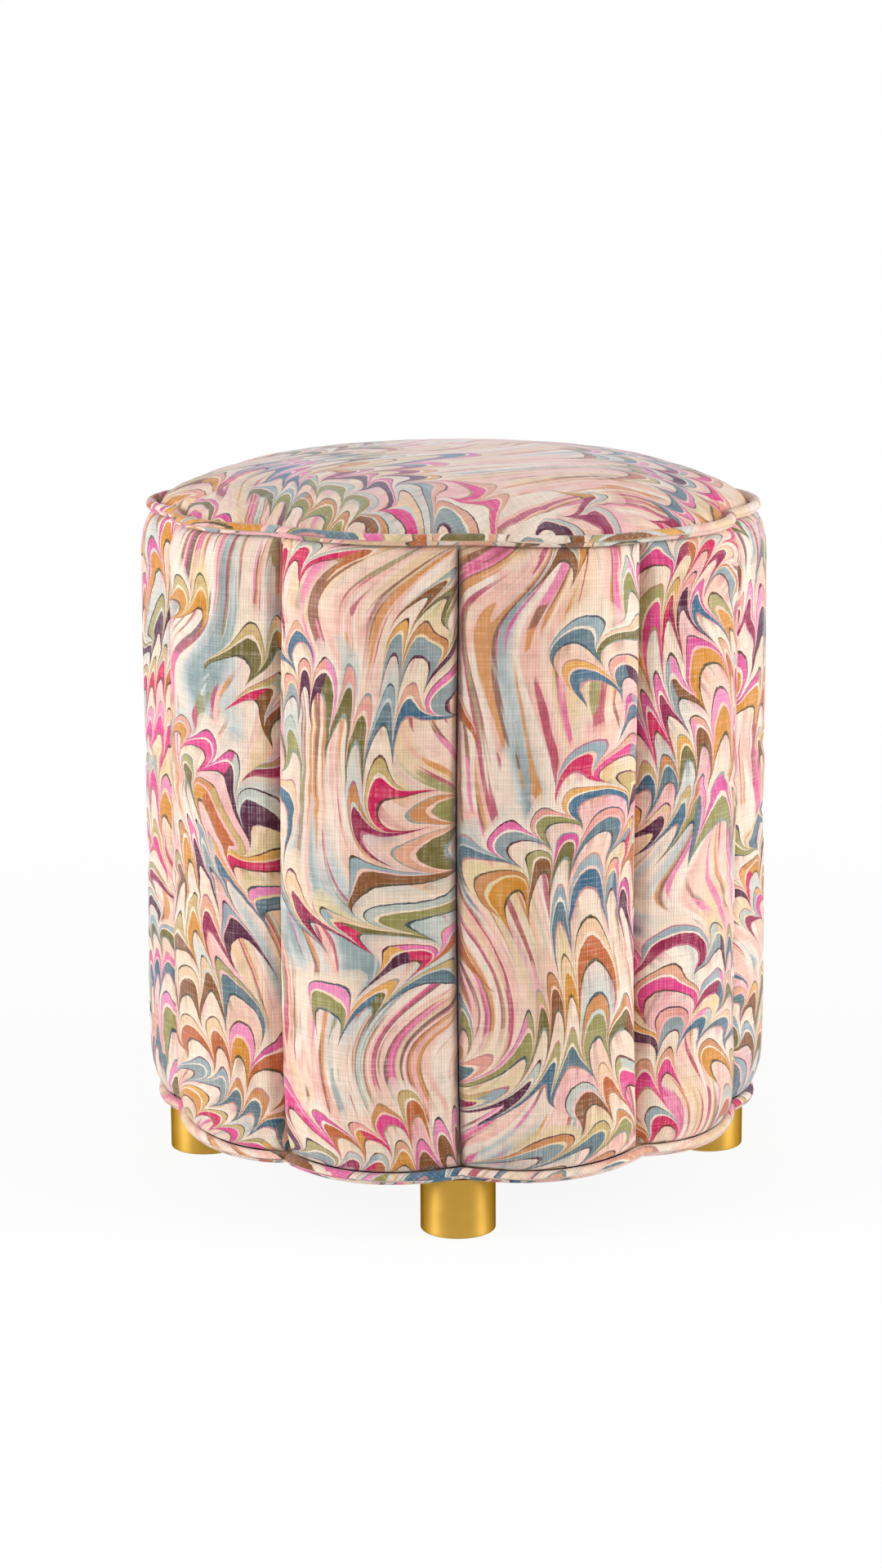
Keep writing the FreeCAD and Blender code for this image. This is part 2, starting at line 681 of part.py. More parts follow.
def add_leg_group(body):
    """Repeats a body, drawn on the axis, at every leg: separate solids in one piece."""
    doc.recompute()
    copies = []
    for angle in LEG_ANGLES.values():
        copy = body.Shape.copy()
        copy.translate(polar(value(LEG_CIRCLE), math.radians(angle)))
        copies.append(copy)
    add_part(f"{body.Name}s", Part.makeCompound(copies))


def make_leg_hardware():
    """The studs, their inserts in the base board, and the foot glides."""
    stud = add_body("leg_stud", z=f"{DECK} - sizes.leg_head")
    pad(stud, circle_sketch(stud, "stud", "sizes.stud_diameter"), "sizes.leg_head + sizes.stud_reach")
    add_leg_group(stud)

    insert = add_body("leg_insert", z=BOARD)
    pad(insert, circle_sketch(insert, "insert", "sizes.insert_diameter"), "sizes.insert_length")
    pocket(insert, circle_sketch(insert, "insert_bore", STUD_HOLE))
    add_leg_group(insert)

    glide = add_body("foot_glide")
    pad(glide, circle_sketch(glide, "sole", f"{LEG_BORE} - 2 * sizes.glide_recess"), "sizes.glide_height")
    plug_width = f"{LEG_BORE} - 2 * sizes.bore_clearance"
    plug_level = "sizes.glide_proud + sizes.glide_recess"
    plug = circle_sketch(glide, "plug", plug_width, height=plug_level)
    pad(glide, plug, f"sizes.glide_height - ({plug_level})")
    add_leg_group(glide)


def make_frame():
    """Everything under the upholstery."""
    make_base_board()
    make_uprights()
    make_seat_board()
    make_drum()
    make_frame_screws()


def make_upholstery():
    """Foam flutes and seat, the piped cover, and the dust cover."""
    flute, panel = flute_pad_shape(), side_panel_shape()
    for k in range(lobes):
        angle = FULL_TURN * k / lobes
        add_part(f"flute_pad_{k + 1:02d}", flute, angle)
        add_part(f"side_panel_{k + 1:02d}", panel, angle)
    add_part("seat_foam", seat_foam_shape())
    add_part("crown_wadding", crown_wadding_shape())
    add_part("top_panel", top_panel_shape())
    top_inner = rim_seam[1] - size("seam_allowance")
    base_inner = base_seam[1] - size("seam_allowance")
    for name, outline, level, flange, inner in (
        ("top_piping", rim, rim_level, rim_flange_level, top_inner),
        ("base_piping", base_rim, base_rim_level, flange_level, base_inner),
    ):
        add_part(name, piping_shape(outline, level, flange, inner))
        add_part(f"{name}_cord", cord_shape(outline, level))
    make_dust_cover()


def check_document():
    """Stops if an object failed to compute or a piece has no sound solid."""
    doc.recompute()
    for item in doc.Objects:
        if {"Invalid", "Error"} & set(item.State):
            raise RuntimeError(f"{item.Label}: {item.State}")
    for piece in sub_parts:
        if piece.Shape.isNull() or not piece.Shape.isValid() or not piece.Shape.Solids:
            raise RuntimeError(f"{piece.Label}: no sound solid")


def write_parts():
    """Writes each piece to its own file."""
    os.makedirs("parts", exist_ok=True)
    for piece in sub_parts:
        piece.Shape.exportStep(f"parts/{piece.Label}.step")
        print(f"{piece.Label}: {len(piece.Shape.Solids)} solid(s), {piece.Shape.Volume:.0f} mm3")


make_frame()
make_upholstery()
for leg_side, leg_angle in LEG_ANGLES.items():
    make_leg(leg_side, leg_angle)
make_leg_hardware()
check_document()
write_parts()
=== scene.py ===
"""The looks of a scalloped drum ottoman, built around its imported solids.

Ten padded flutes and a domed crown are stretched by a cloth simulation, edged with
piping that follows the scallops, and covered with a marbled linen. The legs are satin
brushed brass. Everything is in metres, in the frame of the solids: +Z up, the origin on
the floor under the centre, and the front seam at -Y.
"""

import json
import logging
import math
from collections.abc import Callable
from dataclasses import dataclass
from enum import Enum
from functools import partial

import bpy
import numpy as np
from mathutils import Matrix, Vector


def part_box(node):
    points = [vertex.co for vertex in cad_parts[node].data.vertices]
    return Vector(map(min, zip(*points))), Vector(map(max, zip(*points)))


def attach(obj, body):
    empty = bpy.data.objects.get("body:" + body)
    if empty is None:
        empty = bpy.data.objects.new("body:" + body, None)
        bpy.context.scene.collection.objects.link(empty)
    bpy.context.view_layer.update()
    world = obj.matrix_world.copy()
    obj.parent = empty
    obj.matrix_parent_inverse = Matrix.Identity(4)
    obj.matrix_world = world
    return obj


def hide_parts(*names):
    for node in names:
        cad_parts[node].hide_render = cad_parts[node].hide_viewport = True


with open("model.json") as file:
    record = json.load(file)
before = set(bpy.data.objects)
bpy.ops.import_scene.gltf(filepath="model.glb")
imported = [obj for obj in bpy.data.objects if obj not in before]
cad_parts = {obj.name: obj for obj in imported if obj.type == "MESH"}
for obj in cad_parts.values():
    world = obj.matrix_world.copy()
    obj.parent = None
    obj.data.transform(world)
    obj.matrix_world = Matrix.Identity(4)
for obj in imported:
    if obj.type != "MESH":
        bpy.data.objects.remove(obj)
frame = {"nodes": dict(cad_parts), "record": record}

log = logging.getLogger("ottoman")
Array = np.ndarray
Piece = bpy.types.Object
Material = bpy.types.Material
Node = bpy.types.Node
Socket = bpy.types.NodeSocket
AddNode = Callable[..., Node]

MM = 0.001
LOBES = 10
HALF_LOBE = math.pi / LOBES
BODY = "root"

# Reach of the two outlines along the middle of their piping, at the crests and at the dents
RIM = (191 * MM, 177 * MM)
BASE_RIM = (191.5 * MM, 183 * MM)
# From the middle of a piping to the edge of the cloth beside it
BESIDE_PIPING = 3.8 * MM
# How much lower the base hangs at the crests than at the dents
BASE_SAG = 3.1 * MM

# Heights of the seams, from the frame's own nodes
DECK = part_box("dust_cover")[0].z
BASE_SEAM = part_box("base_piping")[1].z
RIM_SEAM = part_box("top_piping")[0].z
CROWN_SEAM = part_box("top_panel")[0].z
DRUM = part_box("drum_wrap")[1].x


def linear(code: str) -> tuple[float, float, float, float]:
    """A colour written as sRGB hex digits, as the linear values that shaders take."""
    parts = [int(code[k:k + 2], 16) / 255 for k in (1, 3, 5)]
    parts = [p / 12.92 if p <= 0.04045 else ((p + 0.055) / 1.055) ** 2.4 for p in parts]
    return parts[0], parts[1], parts[2], 1.0


def add_node(tree: bpy.types.NodeTree, kind: str, *inputs, named: dict | None = None, **settings) -> Node:
    """Adds a shader node with its settings and links.

    Args:
        tree: The node tree that gets the node.
        kind: The node's type, without the leading ShaderNode.
        inputs: What goes to the first sockets: numbers, tuples, nodes or sockets, or None to skip one.
        named: The same for sockets that go by name.
        settings: Properties of the node itself.

    Returns:
        The new node. As an input it stands for its first output.
    """
    node = tree.nodes.new("ShaderNode" + kind)
    for name, setting in settings.items():
        setattr(node, name, setting)
    given = [(k, v) for k, v in enumerate(inputs) if v is not None]
    for key, source in given + list((named or {}).items()):
        if isinstance(source, bpy.types.Node):
            source = source.outputs[0]
        if isinstance(source, bpy.types.NodeSocket):
            tree.links.new(source, node.inputs[key])
        else:
            node.inputs[key].default_value = source
    return node


def fill_ramp(node: Node, stops: list[tuple[float, str]], stepped: bool = False) -> None:
    """Writes places and hex colours into a colour ramp.

    Args:
        node: The ramp's node.
        stops: A place from 0 to 1 and a colour for each stop, in order.
        stepped: Whether each colour holds until the next stop.
    """
    ramp = node.color_ramp
    ramp.interpolation = "CONSTANT" if stepped else "LINEAR"
    while len(ramp.elements) < len(stops):
        ramp.elements.new(1.0)
    for element, (place, code) in zip(ramp.elements, stops):
        element.position = place
        element.color = linear(code)


def new_material(name: str, values: dict) -> tuple[Material, bpy.types.NodeTree, Node, AddNode]:
    """Starts a material.

    Args:
        name: The material's name.
        values: What the surface shader's sockets hold, by their names.

    Returns:
        The material, its node tree, its surface shader, and a function that adds nodes to the tree.
    """
    material = bpy.data.materials.new(name)
    material.use_nodes = True
    tree = material.node_tree
    tree.nodes.clear()
    add = partial(add_node, tree)
    surface = add("BsdfPrincipled", named=values)
    add("OutputMaterial", surface)
    return material, tree, surface, add


def seen_rays(add: AddNode) -> Node:
    """Gives 1 to rays that the camera sees, straight, by a gloss or through glass, and 0 to others."""
    rays = add("LightPath")
    seen = add("Math", rays.outputs["Is Camera Ray"], rays.outputs["Is Glossy Ray"], operation="MAXIMUM")
    return add("Math", seen, rays.outputs["Is Transmission Ray"], operation="MAXIMUM")


# Shapes on a grid


def scallop_reach(crest: Array, dent: Array, angle: Array) -> Array:
    """Distance from the axis to a scalloped outline.

    The outline is equal circle arcs that meet in a point at each dent. An arc's centre lies
    c = (crest^2 - dent^2) / (2 (crest - dent cos(half lobe))) from the axis, and at an angle
    a from the crest the reach is c cos a + sqrt((crest - c)^2 - (c sin a)^2).

    Args:
        crest: Reach at the crests.
        dent: Reach at the dents.
        angle: Angle from a crest.

    Returns:
        The reach at each angle.
    """
    folded = (angle + HALF_LOBE) % (2 * HALF_LOBE) - HALF_LOBE
    centre = (crest**2 - dent**2) / (2 * (crest - dent * math.cos(HALF_LOBE)))
    return centre * np.cos(folded) + np.sqrt((crest - centre) ** 2 - (centre * np.sin(folded)) ** 2)


def scallop_inset(crest: float, dent: float, distance: float) -> tuple[float, float]:
    """A scalloped outline moved inwards by a distance, square to its arcs."""
    centre = (crest**2 - dent**2) / (2 * (crest - dent * math.cos(HALF_LOBE)))
    arc = crest - centre - distance
    along, across = centre * math.cos(HALF_LOBE), centre * math.sin(HALF_LOBE)
    return crest - distance, along + math.sqrt(arc**2 - across**2)


def rounded_reach(crest: Array, dent: Array, angle: Array, rounding: Array) -> Array:
    """Distance from the axis to a scalloped outline whose dents are rounded.

    A place at a distance x from a seam gets the reach of the place at sqrt(x^2 + rounding^2).

    Args:
        crest: Reach at the crests.
        dent: Reach at dents that aren't rounded.
        angle: Angle from a crest.
        rounding: The rounding's length at each place.

    Returns:
        The reach at each angle.
    """
    from_seam = np.abs(angle % (2 * HALF_LOBE) - HALF_LOBE)
    length = np.sqrt(from_seam**2 + (rounding / dent) ** 2)
    return scallop_reach(crest, dent, HALF_LOBE - np.minimum(length, HALF_LOBE))


def nearest_seam(angle: Array) -> Array:
    """Number of the seam in whose half lobes an angle lies: seam 0 is half a lobe on from +X."""
    return np.floor(angle / (2 * HALF_LOBE)).astype(int) % LOBES


def by_seam(values: Array, angle: Array) -> Array:
    """A quantity with a value at each seam, which goes to the next along a half cosine wave."""
    place = angle / (2 * HALF_LOBE) - 0.5
    first = np.floor(place).astype(int)
    part = (1 - np.cos(math.pi * (place - first))) / 2
    return values[first % LOBES] * (1 - part) + values[(first + 1) % LOBES] * part


def refine(grid: Array) -> Array:
    """Doubles a grid of points both ways.

    Each new point is (9 (b + c) - a - d) / 16 of its four neighbours in a line, which keeps
    the given points and a smooth curve through them.

    Args:
        grid: Points, as rows by columns by 3.

    Returns:
        The finer grid.
    """
    for axis in (0, 1):
        line = np.moveaxis(grid, axis, 0)
        before, after = 2 * line[:1] - line[1:2], 2 * line[-1:] - line[-2:-1]
        long = np.concatenate([before, line, after])
        middle = (9 * (long[1:-2] + long[2:-1]) - long[:-3] - long[3:]) / 16
        fine = np.empty((2 * len(line) - 1, *line.shape[1:]))
        fine[::2], fine[1::2] = line, middle
        grid = np.moveaxis(fine, 0, axis)
    return grid


def grid_normals(grid: Array) -> Array:
    """Unit normals of a grid: the cross product of its column and row directions."""
    normals = np.cross(np.gradient(grid, axis=1), np.gradient(grid, axis=0))
    return normals / np.maximum(np.linalg.norm(normals, axis=2, keepdims=True), 1e-12)


def run_length(grid: Array, axis: int) -> Array:
    """Distance along a grid's lines from their start."""
    steps = np.linalg.norm(np.diff(grid, axis=axis), axis=2)
    pad = [(1, 0), (0, 0)] if axis == 0 else [(0, 0), (1, 0)]
    return np.cumsum(np.pad(steps, pad), axis=axis)


def ripples(place: Array, start: Array, waves: tuple) -> Array:
    """A sum of sines: share * sin(place / length + k start) for the k-th length and share."""
    return sum(share * np.sin(place / length + k * start) for k, (length, share) in enumerate(waves, 1))


def grid_quads(rows: int, columns: int, ring: bool = False, loop: bool = False) -> Array:
    """Corner numbers of a grid's faces.

    Args:
        rows: Rows of points.
        columns: Points in a row.
        ring: Whether each row closes on itself.
        loop: Whether the last row joins the first.

    Returns:
        Four corner numbers for each face.
    """
    row = np.arange(rows if loop else rows - 1)[:, None]
    column = np.arange(columns if ring else columns - 1)[None, :]
    above, after = (row + 1) % rows, (column + 1) % columns
    corners = [row * columns + column, row * columns + after,
               above * columns + after, above * columns + column]
    return np.stack(np.broadcast_arrays(*corners), axis=-1).reshape(-1, 4)


def mesh_object(name: str, points: Array, faces: Array, material: Material | None,
                triangles: tuple = ()) -> Piece:
    """Makes an object of points and faces, with its faces pointing outwards.

    Args:
        name: The object's name.
        points: Points, as a list of 3 numbers each.
        faces: Corner numbers, four to a face.
        material: The material, or None.
        triangles: Three corner numbers each, for faces that aren't in the array.

    Returns:
        The new object, at the origin.
    """
    mesh = bpy.data.meshes.new(name)
    mesh.from_pydata(points.reshape(-1, 3).tolist(), [], faces.tolist() + list(triangles))
    mesh.polygons.foreach_set("use_smooth", np.full(len(mesh.polygons), True))
    if material:
        mesh.materials.append(material)
    made = bpy.data.objects.new(name, mesh)
    bpy.context.scene.collection.objects.link(made)
    return made


def store(piece: Piece, name: str, values: Array) -> None:
    """Keeps three numbers for each point of a piece, for its material to read."""
    attribute = piece.data.attributes.new(name, "FLOAT_VECTOR", "POINT")
    attribute.data.foreach_set("vector", values.astype(np.float32).ravel())


def pillow(name: str, front: Array, back: Array, cloth: Array, material: Material) -> Piece:
    """Joins a front and a back grid along their edges into one closed piece.

    Args:
        name: The piece's name.
        front: Points of the face.
        back: Points of the back, on a grid of the same size. Its edge points aren't used.
        cloth: Place of each front point on the flat cloth, in millimetres.
        material: The cover's material.

    Returns:
        The closed piece, with attributes for the print and the weave.
    """
    rows, columns = front.shape[:2]
    number = np.arange(rows * columns).reshape(rows, columns)
    inner = number.copy()
    inner[1:-1, 1:-1] = rows * columns + np.arange((rows - 2) * (columns - 2)).reshape(rows - 2, -1)
    faces = grid_quads(rows, columns)
    points = np.concatenate([front.reshape(-1, 3), back[1:-1, 1:-1].reshape(-1, 3)])
    behind = inner.ravel()[faces][:, ::-1]
    # The front's corner faces are cut from the corner inwards, a cut that the back can't share
    corners = [0, columns - 2, (rows - 2) * (columns - 1), (rows - 1) * (columns - 1) - 1]
    cut = []
    for face, first in zip(corners, (0, 1, 3, 2)):
        a, b, c, d = np.roll(faces[face], -first).tolist()
        cut += [(a, b, c), (a, c, d)]
    faces = np.concatenate([np.delete(faces, corners, axis=0), behind])
    piece = mesh_object(name, points, faces, material, tuple(cut))
    flat = np.concatenate([cloth.reshape(-1, 3), cloth[1:-1, 1:-1].reshape(-1, 3)])
    store(piece, "cloth", flat)
    store(piece, "ink", marble(flat))
    return piece


@dataclass(frozen=True)
class HandWork:
    """How far the sewing and padding stray from even, with a value for each seam.

    Seam 0 is half a lobe anticlockwise from +X, and seam 7 is the front one. The lengths by
    seam are in millimetres.

    Attributes:
        stray: How far each seam sits anticlockwise of its place, along the side.
        level: How far the rim rises at each seam.
        base_level: The same at the base.
        rim_round: Length over which the rim's dent is rounded.
        base_round: The same at the base.
        side: Reach at which the strays are measured, in metres.
    """

    stray: tuple = (0.0, 2.0, -2.0, 3.0, -1.0, 0.0, 4.2, 2.5, 6.5, 0.0)
    level: tuple = (0.5, 0.5, 0.0, 0.5, 1.5, 1.5, 2.8, 1.5, -2.4, -1.5)
    base_level: tuple = (0.5, 0.0, 0.5, 1.5, 4.0, 2.6, -1.0, 0.0, 0.0, 0.5)
    rim_round: tuple = (5.0, 9.0, 6.0, 9.0, 5.0, 5.0, 18.0, 12.0, 18.0, 5.0)
    base_round: tuple = (5.0, 4.0, 7.0, 3.5, 5.0, 5.0, 2.0, 9.0, 4.0, 5.0)
    side: float = 190 * MM

    def turn(self, angle: Array) -> Array:
        """How far the hand work turns a place round the axis, in radians."""
        return by_seam(np.array(self.stray), angle) * MM / self.side

    def lift(self, angle: Array, at_rim: bool = True) -> Array:
        """How far the rim or the base rises at an angle, in metres."""
        return by_seam(np.array(self.level if at_rim else self.base_level), angle) * MM

    def rounding(self, seam: Array, at_rim: Array) -> Array:
        """Length over which a dent is rounded, in metres."""
        return np.where(at_rim, np.array(self.rim_round)[seam], np.array(self.base_round)[seam]) * MM


HAND = HandWork()


# The cloth simulation


@dataclass(frozen=True)
class Linen:
    """How the cover cloth behaves where it is stretched over foam.

    Attributes:
        frames: Steps of the simulation.
        quality: Smaller steps within each.
        weight: Weight of a point of the cloth.
        pressure: How hard the foam pushes.
        tension: How much the cloth resists being drawn out or pressed in, and half of it being sheared.
        bending: How much it resists being bent.
        fullness: Share by which it shrinks, below 0 where it is cut larger than the form.
    """

    frames: int = 20
    quality: int = 6
    weight: float = 0.25
    pressure: float = 4.0
    tension: float = 10.0
    bending: float = 1.0
    fullness: float = -0.006

    def put_on(self, piece: Piece) -> None:
        """Gives a piece the simulation, with pressure and without gravity or collisions."""
        cloth = piece.modifiers.new("linen", "CLOTH")
        settings = cloth.settings
        settings.quality = self.quality
        settings.mass = self.weight
        settings.tension_stiffness = self.tension
        settings.compression_stiffness = self.tension
        settings.shear_stiffness = self.tension / 2
        settings.bending_stiffness = self.bending
        settings.use_pressure = True
        settings.uniform_pressure_force = self.pressure
        settings.vertex_group_mass = "sewn"
        settings.shrink_min = self.fullness
        settings.effector_weights.gravity = 0
        cloth.collision_settings.use_collision = False
        cloth.collision_settings.use_self_collision = False

    def stretch(self, sheets: list[Array], most: float, held: int = 2) -> list[Array]:
        """Swells sheets that are sewn down along their edges.

        A point goes where the simulation puts it, but no further from its start than it may.

        Args:
            sheets: Grids of points, with their outer side to the left of their rows.
            most: How far a point may move, in metres.
            held: How many columns at each side stay where they are sewn.

        Returns:
            The swollen sheets.
        """
        faces, edge, start = [], [], 0
        for sheet in sheets:
            rows, columns = sheet.shape[:2]
            faces.append(grid_quads(rows, columns) + start)
            number = np.arange(rows * columns).reshape(rows, columns) + start
            edge += [number[:2].ravel(), number[-2:].ravel(),
                     number[:, :held].ravel(), number[:, -held:].ravel()]
            start += rows * columns
        points = np.concatenate([sheet.reshape(-1, 3) for sheet in sheets])
        piece = mesh_object("linen_at_work", points, np.concatenate(faces), None)
        pins = piece.vertex_groups.new(name="sewn")
        pins.add(np.unique(np.concatenate(edge)).tolist(), 1.0, "REPLACE")
        self.put_on(piece)
        scene = bpy.context.scene
        for step in range(1, self.frames + 1):
            scene.frame_set(step)
        done = piece.evaluated_get(bpy.context.evaluated_depsgraph_get())
        moved = np.empty(len(points) * 3, np.float32)
        done.data.vertices.foreach_get("co", moved)
        move = moved.reshape(-1, 3).astype(float) - points
        length = np.linalg.norm(move, axis=1, keepdims=True)
        points = points + move * np.minimum(1, most / np.maximum(length, 1e-9))
        mesh = piece.data
        bpy.data.objects.remove(piece)
        bpy.data.meshes.remove(mesh)
        scene.frame_set(1)
        ends = np.cumsum([sheet.shape[0] * sheet.shape[1] for sheet in sheets])[:-1]
        return [part.reshape(sheet.shape) for part, sheet in zip(np.split(points, ends), sheets)]


# The printed cloth, in millimetres


CURL_SPACING = 150.0
CURL_RADIUS = 70.0
CURL_TURN = 1.0
CURL_SWELL = 0.4
CLOTH_LENGTH = 1200.0
# Each wave's height and length
WAVE_ACROSS = (15, 53)
WAVE_ALONG = (30, 57)


def marble(cloth: Array) -> Array:
    """Where the ink at each place of the cloth lay before the bath was stirred.

    A lattice of curls turns the cloth about each centre by turn * exp(-(r / radius)^2), left
    and right in turn, and widens or narrows it there. Then two waves shift it sideways and
    along. Bands of ink that were straight come out wavy and rolled up.

    Args:
        cloth: Places on the flat cloth, in millimetres.

    Returns:
        Places in the unstirred ink, in millimetres.
    """
    x, y = cloth[:, 0].copy(), cloth[:, 1].copy()
    draw = np.random.default_rng(7)
    count = int(CLOTH_LENGTH / CURL_SPACING)
    for row in range(count):
        for column in range(count):
            shift = draw.uniform(-0.3, 0.3, 2) + (0.5 * (row % 2), 0)
            centre_x, centre_y = (column + shift[0]) * CURL_SPACING, (row + shift[1]) * CURL_SPACING
            radius = CURL_RADIUS * draw.uniform(0.7, 1.15)
            turn = CURL_TURN * draw.uniform(0.6, 1.1) * (-1) ** (row + column)
            dx, dy = x - centre_x, y - centre_y
            fall = np.exp(-(dx**2 + dy**2) / radius**2)
            angle, size = turn * fall, 1 + draw.uniform(-CURL_SWELL, CURL_SWELL) * fall
            x = centre_x + size * (dx * np.cos(angle) - dy * np.sin(angle))
            y = centre_y + size * (dx * np.sin(angle) + dy * np.cos(angle))
    wave_x = x + WAVE_ACROSS[0] * np.sin(y / WAVE_ACROSS[1] + 1.0)
    wave_y = y + WAVE_ALONG[0] * np.sin(x / WAVE_ALONG[1])
    return np.stack([wave_x, wave_y, np.zeros_like(x)], axis=1)


@dataclass(frozen=True)
class MarbledLinen:
    """Slubbed linen with a marbled print in water-based inks: matte, each yarn catching light.

    The inks were combed into rows of nested arcs and rolled into curls, with long streaks
    between the rows. The yarns stand about 1 mm apart and are drawn 1.7 mm apart, so that
    they show at this distance.

    Attributes:
        name: The material's name.
        comb: Distance between the comb's teeth, in millimetres like the other lengths.
        stray: How far the comb's way strays sideways.
        bow: Depth of an arc.
        lag: How far one tooth's arcs may lie behind another's.
        ragged: How far an arc's edge bleeds along the cloth's threads.
        row: Distance between rows of arcs.
        yarn: Distance between yarns as drawn.
        bands: Palette of each band of a row, and where it starts and ends as a share of the row.
        streaky: The noise level past which the streaks show alone.
        thinned: Colour that thin ink lets through.
        thread: Colour of yarns that took little ink.
        vivid: Strong inks, for the first broad band.
        middle: Softer inks, for the second.
        pale: The lightest inks, for the rest of a row.
        dark: Dark and soft inks, for the thin bands.
        strokes: Inks of the streaks.
        washes: The broad washes under them, with the place of each colour.
    """

    name: str = "marbled_linen_cotton"
    comb: float = 22.5
    stray: float = 50.0
    bow: float = 25.0
    lag: float = 6.0
    ragged: float = 1.8
    row: float = 31.0
    yarn: float = 1.7
    bands: tuple = (("dark", 0.0, 0.05), ("vivid", 0.05, 0.34), ("middle", 0.40, 0.58), ("dark", 0.58, 0.62))
    streaky: float = 0.555
    thinned: str = "#F8DCCB"
    thread: str = "#F8EFE4"
    vivid: tuple = ("#56163A", "#9C1048", "#D60E56", "#E8408A", "#C4662C", "#D98F22",
                    "#8C5422", "#766A2E", "#9A9350", "#5F7A84", "#3F6C86", "#919F9F")
    middle: tuple = ("#E0559C", "#F58FBC", "#EEA292", "#EAAA50", "#D28C50", "#CFB070",
                     "#B0A468", "#F3C9A0", "#C4C8BC", "#9CADB2", "#E8A888", "#F070A8")
    pale: tuple = ("#F8E1C8", "#F8CAB4", "#F9E9D4", "#EED5A4", "#F9D6C0", "#F9E0C6",
                   "#F7BBB8", "#F9E5D0", "#D0D3CA", "#F9DEC0")
    dark: tuple = ("#561A38", "#C0667C", "#663820", "#B08A5C", "#5A4A26",
                   "#4C452C", "#8C9C98", "#40505A", "#C98A84", "#561A38")
    strokes: tuple = ("#4A7690", "#9AABA8", "#D6D5C8", "#958F54", "#B81654", "#F6BCAA",
                      "#DB8C34", "#8A4624", "#F078AC", "#E4408A", "#A2124A", "#561A38")
    washes: tuple = ((0.0, "#92A4A4"), (0.13, "#CBD0CC"), (0.25, "#F7DCC6"), (0.42, "#FAE8D6"),
                     (0.53, "#F8BEAE"), (0.63, "#FADAC4"), (0.76, "#F3CDA0"), (0.86, "#E9D3B4"),
                     (1.0, "#EE86A8"))

    def pick(self, add: AddNode, source: Node, colours: tuple) -> Node:
        """A colour out of several, by a number.

        Args:
            add: The function that adds nodes.
            source: The number, from 0 to 1.
            colours: The colours to choose from.

        Returns:
            The node that gives the colour.
        """
        ramp = add("ValToRGB", source)
        fill_ramp(ramp, [(k / len(colours), code) for k, code in enumerate(colours)], stepped=True)
        return ramp

    def comb_through(self, add: AddNode, ink: Socket, cloth: Socket) -> tuple[Node, Node, Node]:
        """Combs the ink into columns of a tooth's width, each pulled into an arc.

        With s the distance from a column's middle as a share of its width, the pull is
        bow * sqrt(1 - 3.9 s^2).

        Args:
            add: The function that adds nodes.
            ink: Places in the unstirred ink.
            cloth: Places on the flat cloth.

        Returns:
            The place across in columns, its whole part, and the place along in rows.
        """
        split = add("SeparateXYZ", ink)
        across, along = split.outputs[0], split.outputs[1]
        wobble = add("TexNoise", ink, named={"Scale": 0.02, "Detail": 0.0})
        swing = add("Math", wobble.outputs[0], 0.5, operation="SUBTRACT")
        column = add("Math", add("Math", swing, self.stray, across, operation="MULTIPLY_ADD"), self.comb,
                     operation="DIVIDE")
        cell = add("Math", column, operation="FLOOR")
        side = add("Math", add("Math", column, operation="FRACT"), 0.5, operation="SUBTRACT")
        square = add("Math", add("Math", side, side, operation="MULTIPLY"), -3.9, 1.0,
                     operation="MULTIPLY_ADD")
        arc = add("Math", square, operation="SQRT")
        chance = add("TexWhiteNoise", None, cell, noise_dimensions="1D")
        behind = add("Math", chance.outputs[0], self.lag, along, operation="MULTIPLY_ADD")
        pulled = add("Math", arc, -self.bow, behind, operation="MULTIPLY_ADD")
        bleed = add("TexNoise", cloth, named={"Scale": 0.25, "Detail": 2.0})
        edge = add("Math", add("Math", bleed.outputs[0], 0.5, operation="SUBTRACT"), self.ragged, pulled,
                   operation="MULTIPLY_ADD")
        return column, cell, add("Math", edge, self.row, operation="DIVIDE")

    def row_colours(self, add: AddNode, column: Node, cell: Node, row: Node) -> dict[str, Node]:
        """Each row's colours: near neighbours in a palette, which wander slowly over the cloth.

        Args:
            add: The function that adds nodes.
            column: The place across in columns.
            cell: Its whole part.
            row: Number of the row.

        Returns:
            The colour out of each palette, by the palette's name.
        """
        group = add("Math", add("Math", column, 0.4, row, operation="MULTIPLY_ADD"), operation="FLOOR")
        spot = add("CombineXYZ", add("Math", cell, 0.06, operation="MULTIPLY"),
                   add("Math", row, 0.17, operation="MULTIPLY"))
        family = add("TexNoise", spot, named={"Scale": 1.0, "Detail": 0.0})
        wander = add("MapRange", family.outputs[0], 0.3, 0.7, 0.0, 1.6)
        picks = []
        for spread, across_key, along_key in ((0.5, group, row), (0.8, group, add("Math", row, 17.0)),
                                              (4.0, cell, add("Math", row, 5.0))):
            luck = add("TexWhiteNoise", add("CombineXYZ", across_key, along_key), noise_dimensions="2D")
            drift = add("Math", luck.outputs[0], spread, wander, operation="MULTIPLY_ADD")
            picks.append(add("Math", drift, operation="FRACT"))
        return {name: self.pick(add, place, palette) for name, place, palette in (
            ("vivid", picks[0], self.vivid), ("middle", picks[1], self.middle),
            ("pale", picks[2], self.pale), ("dark", picks[0], self.dark))}

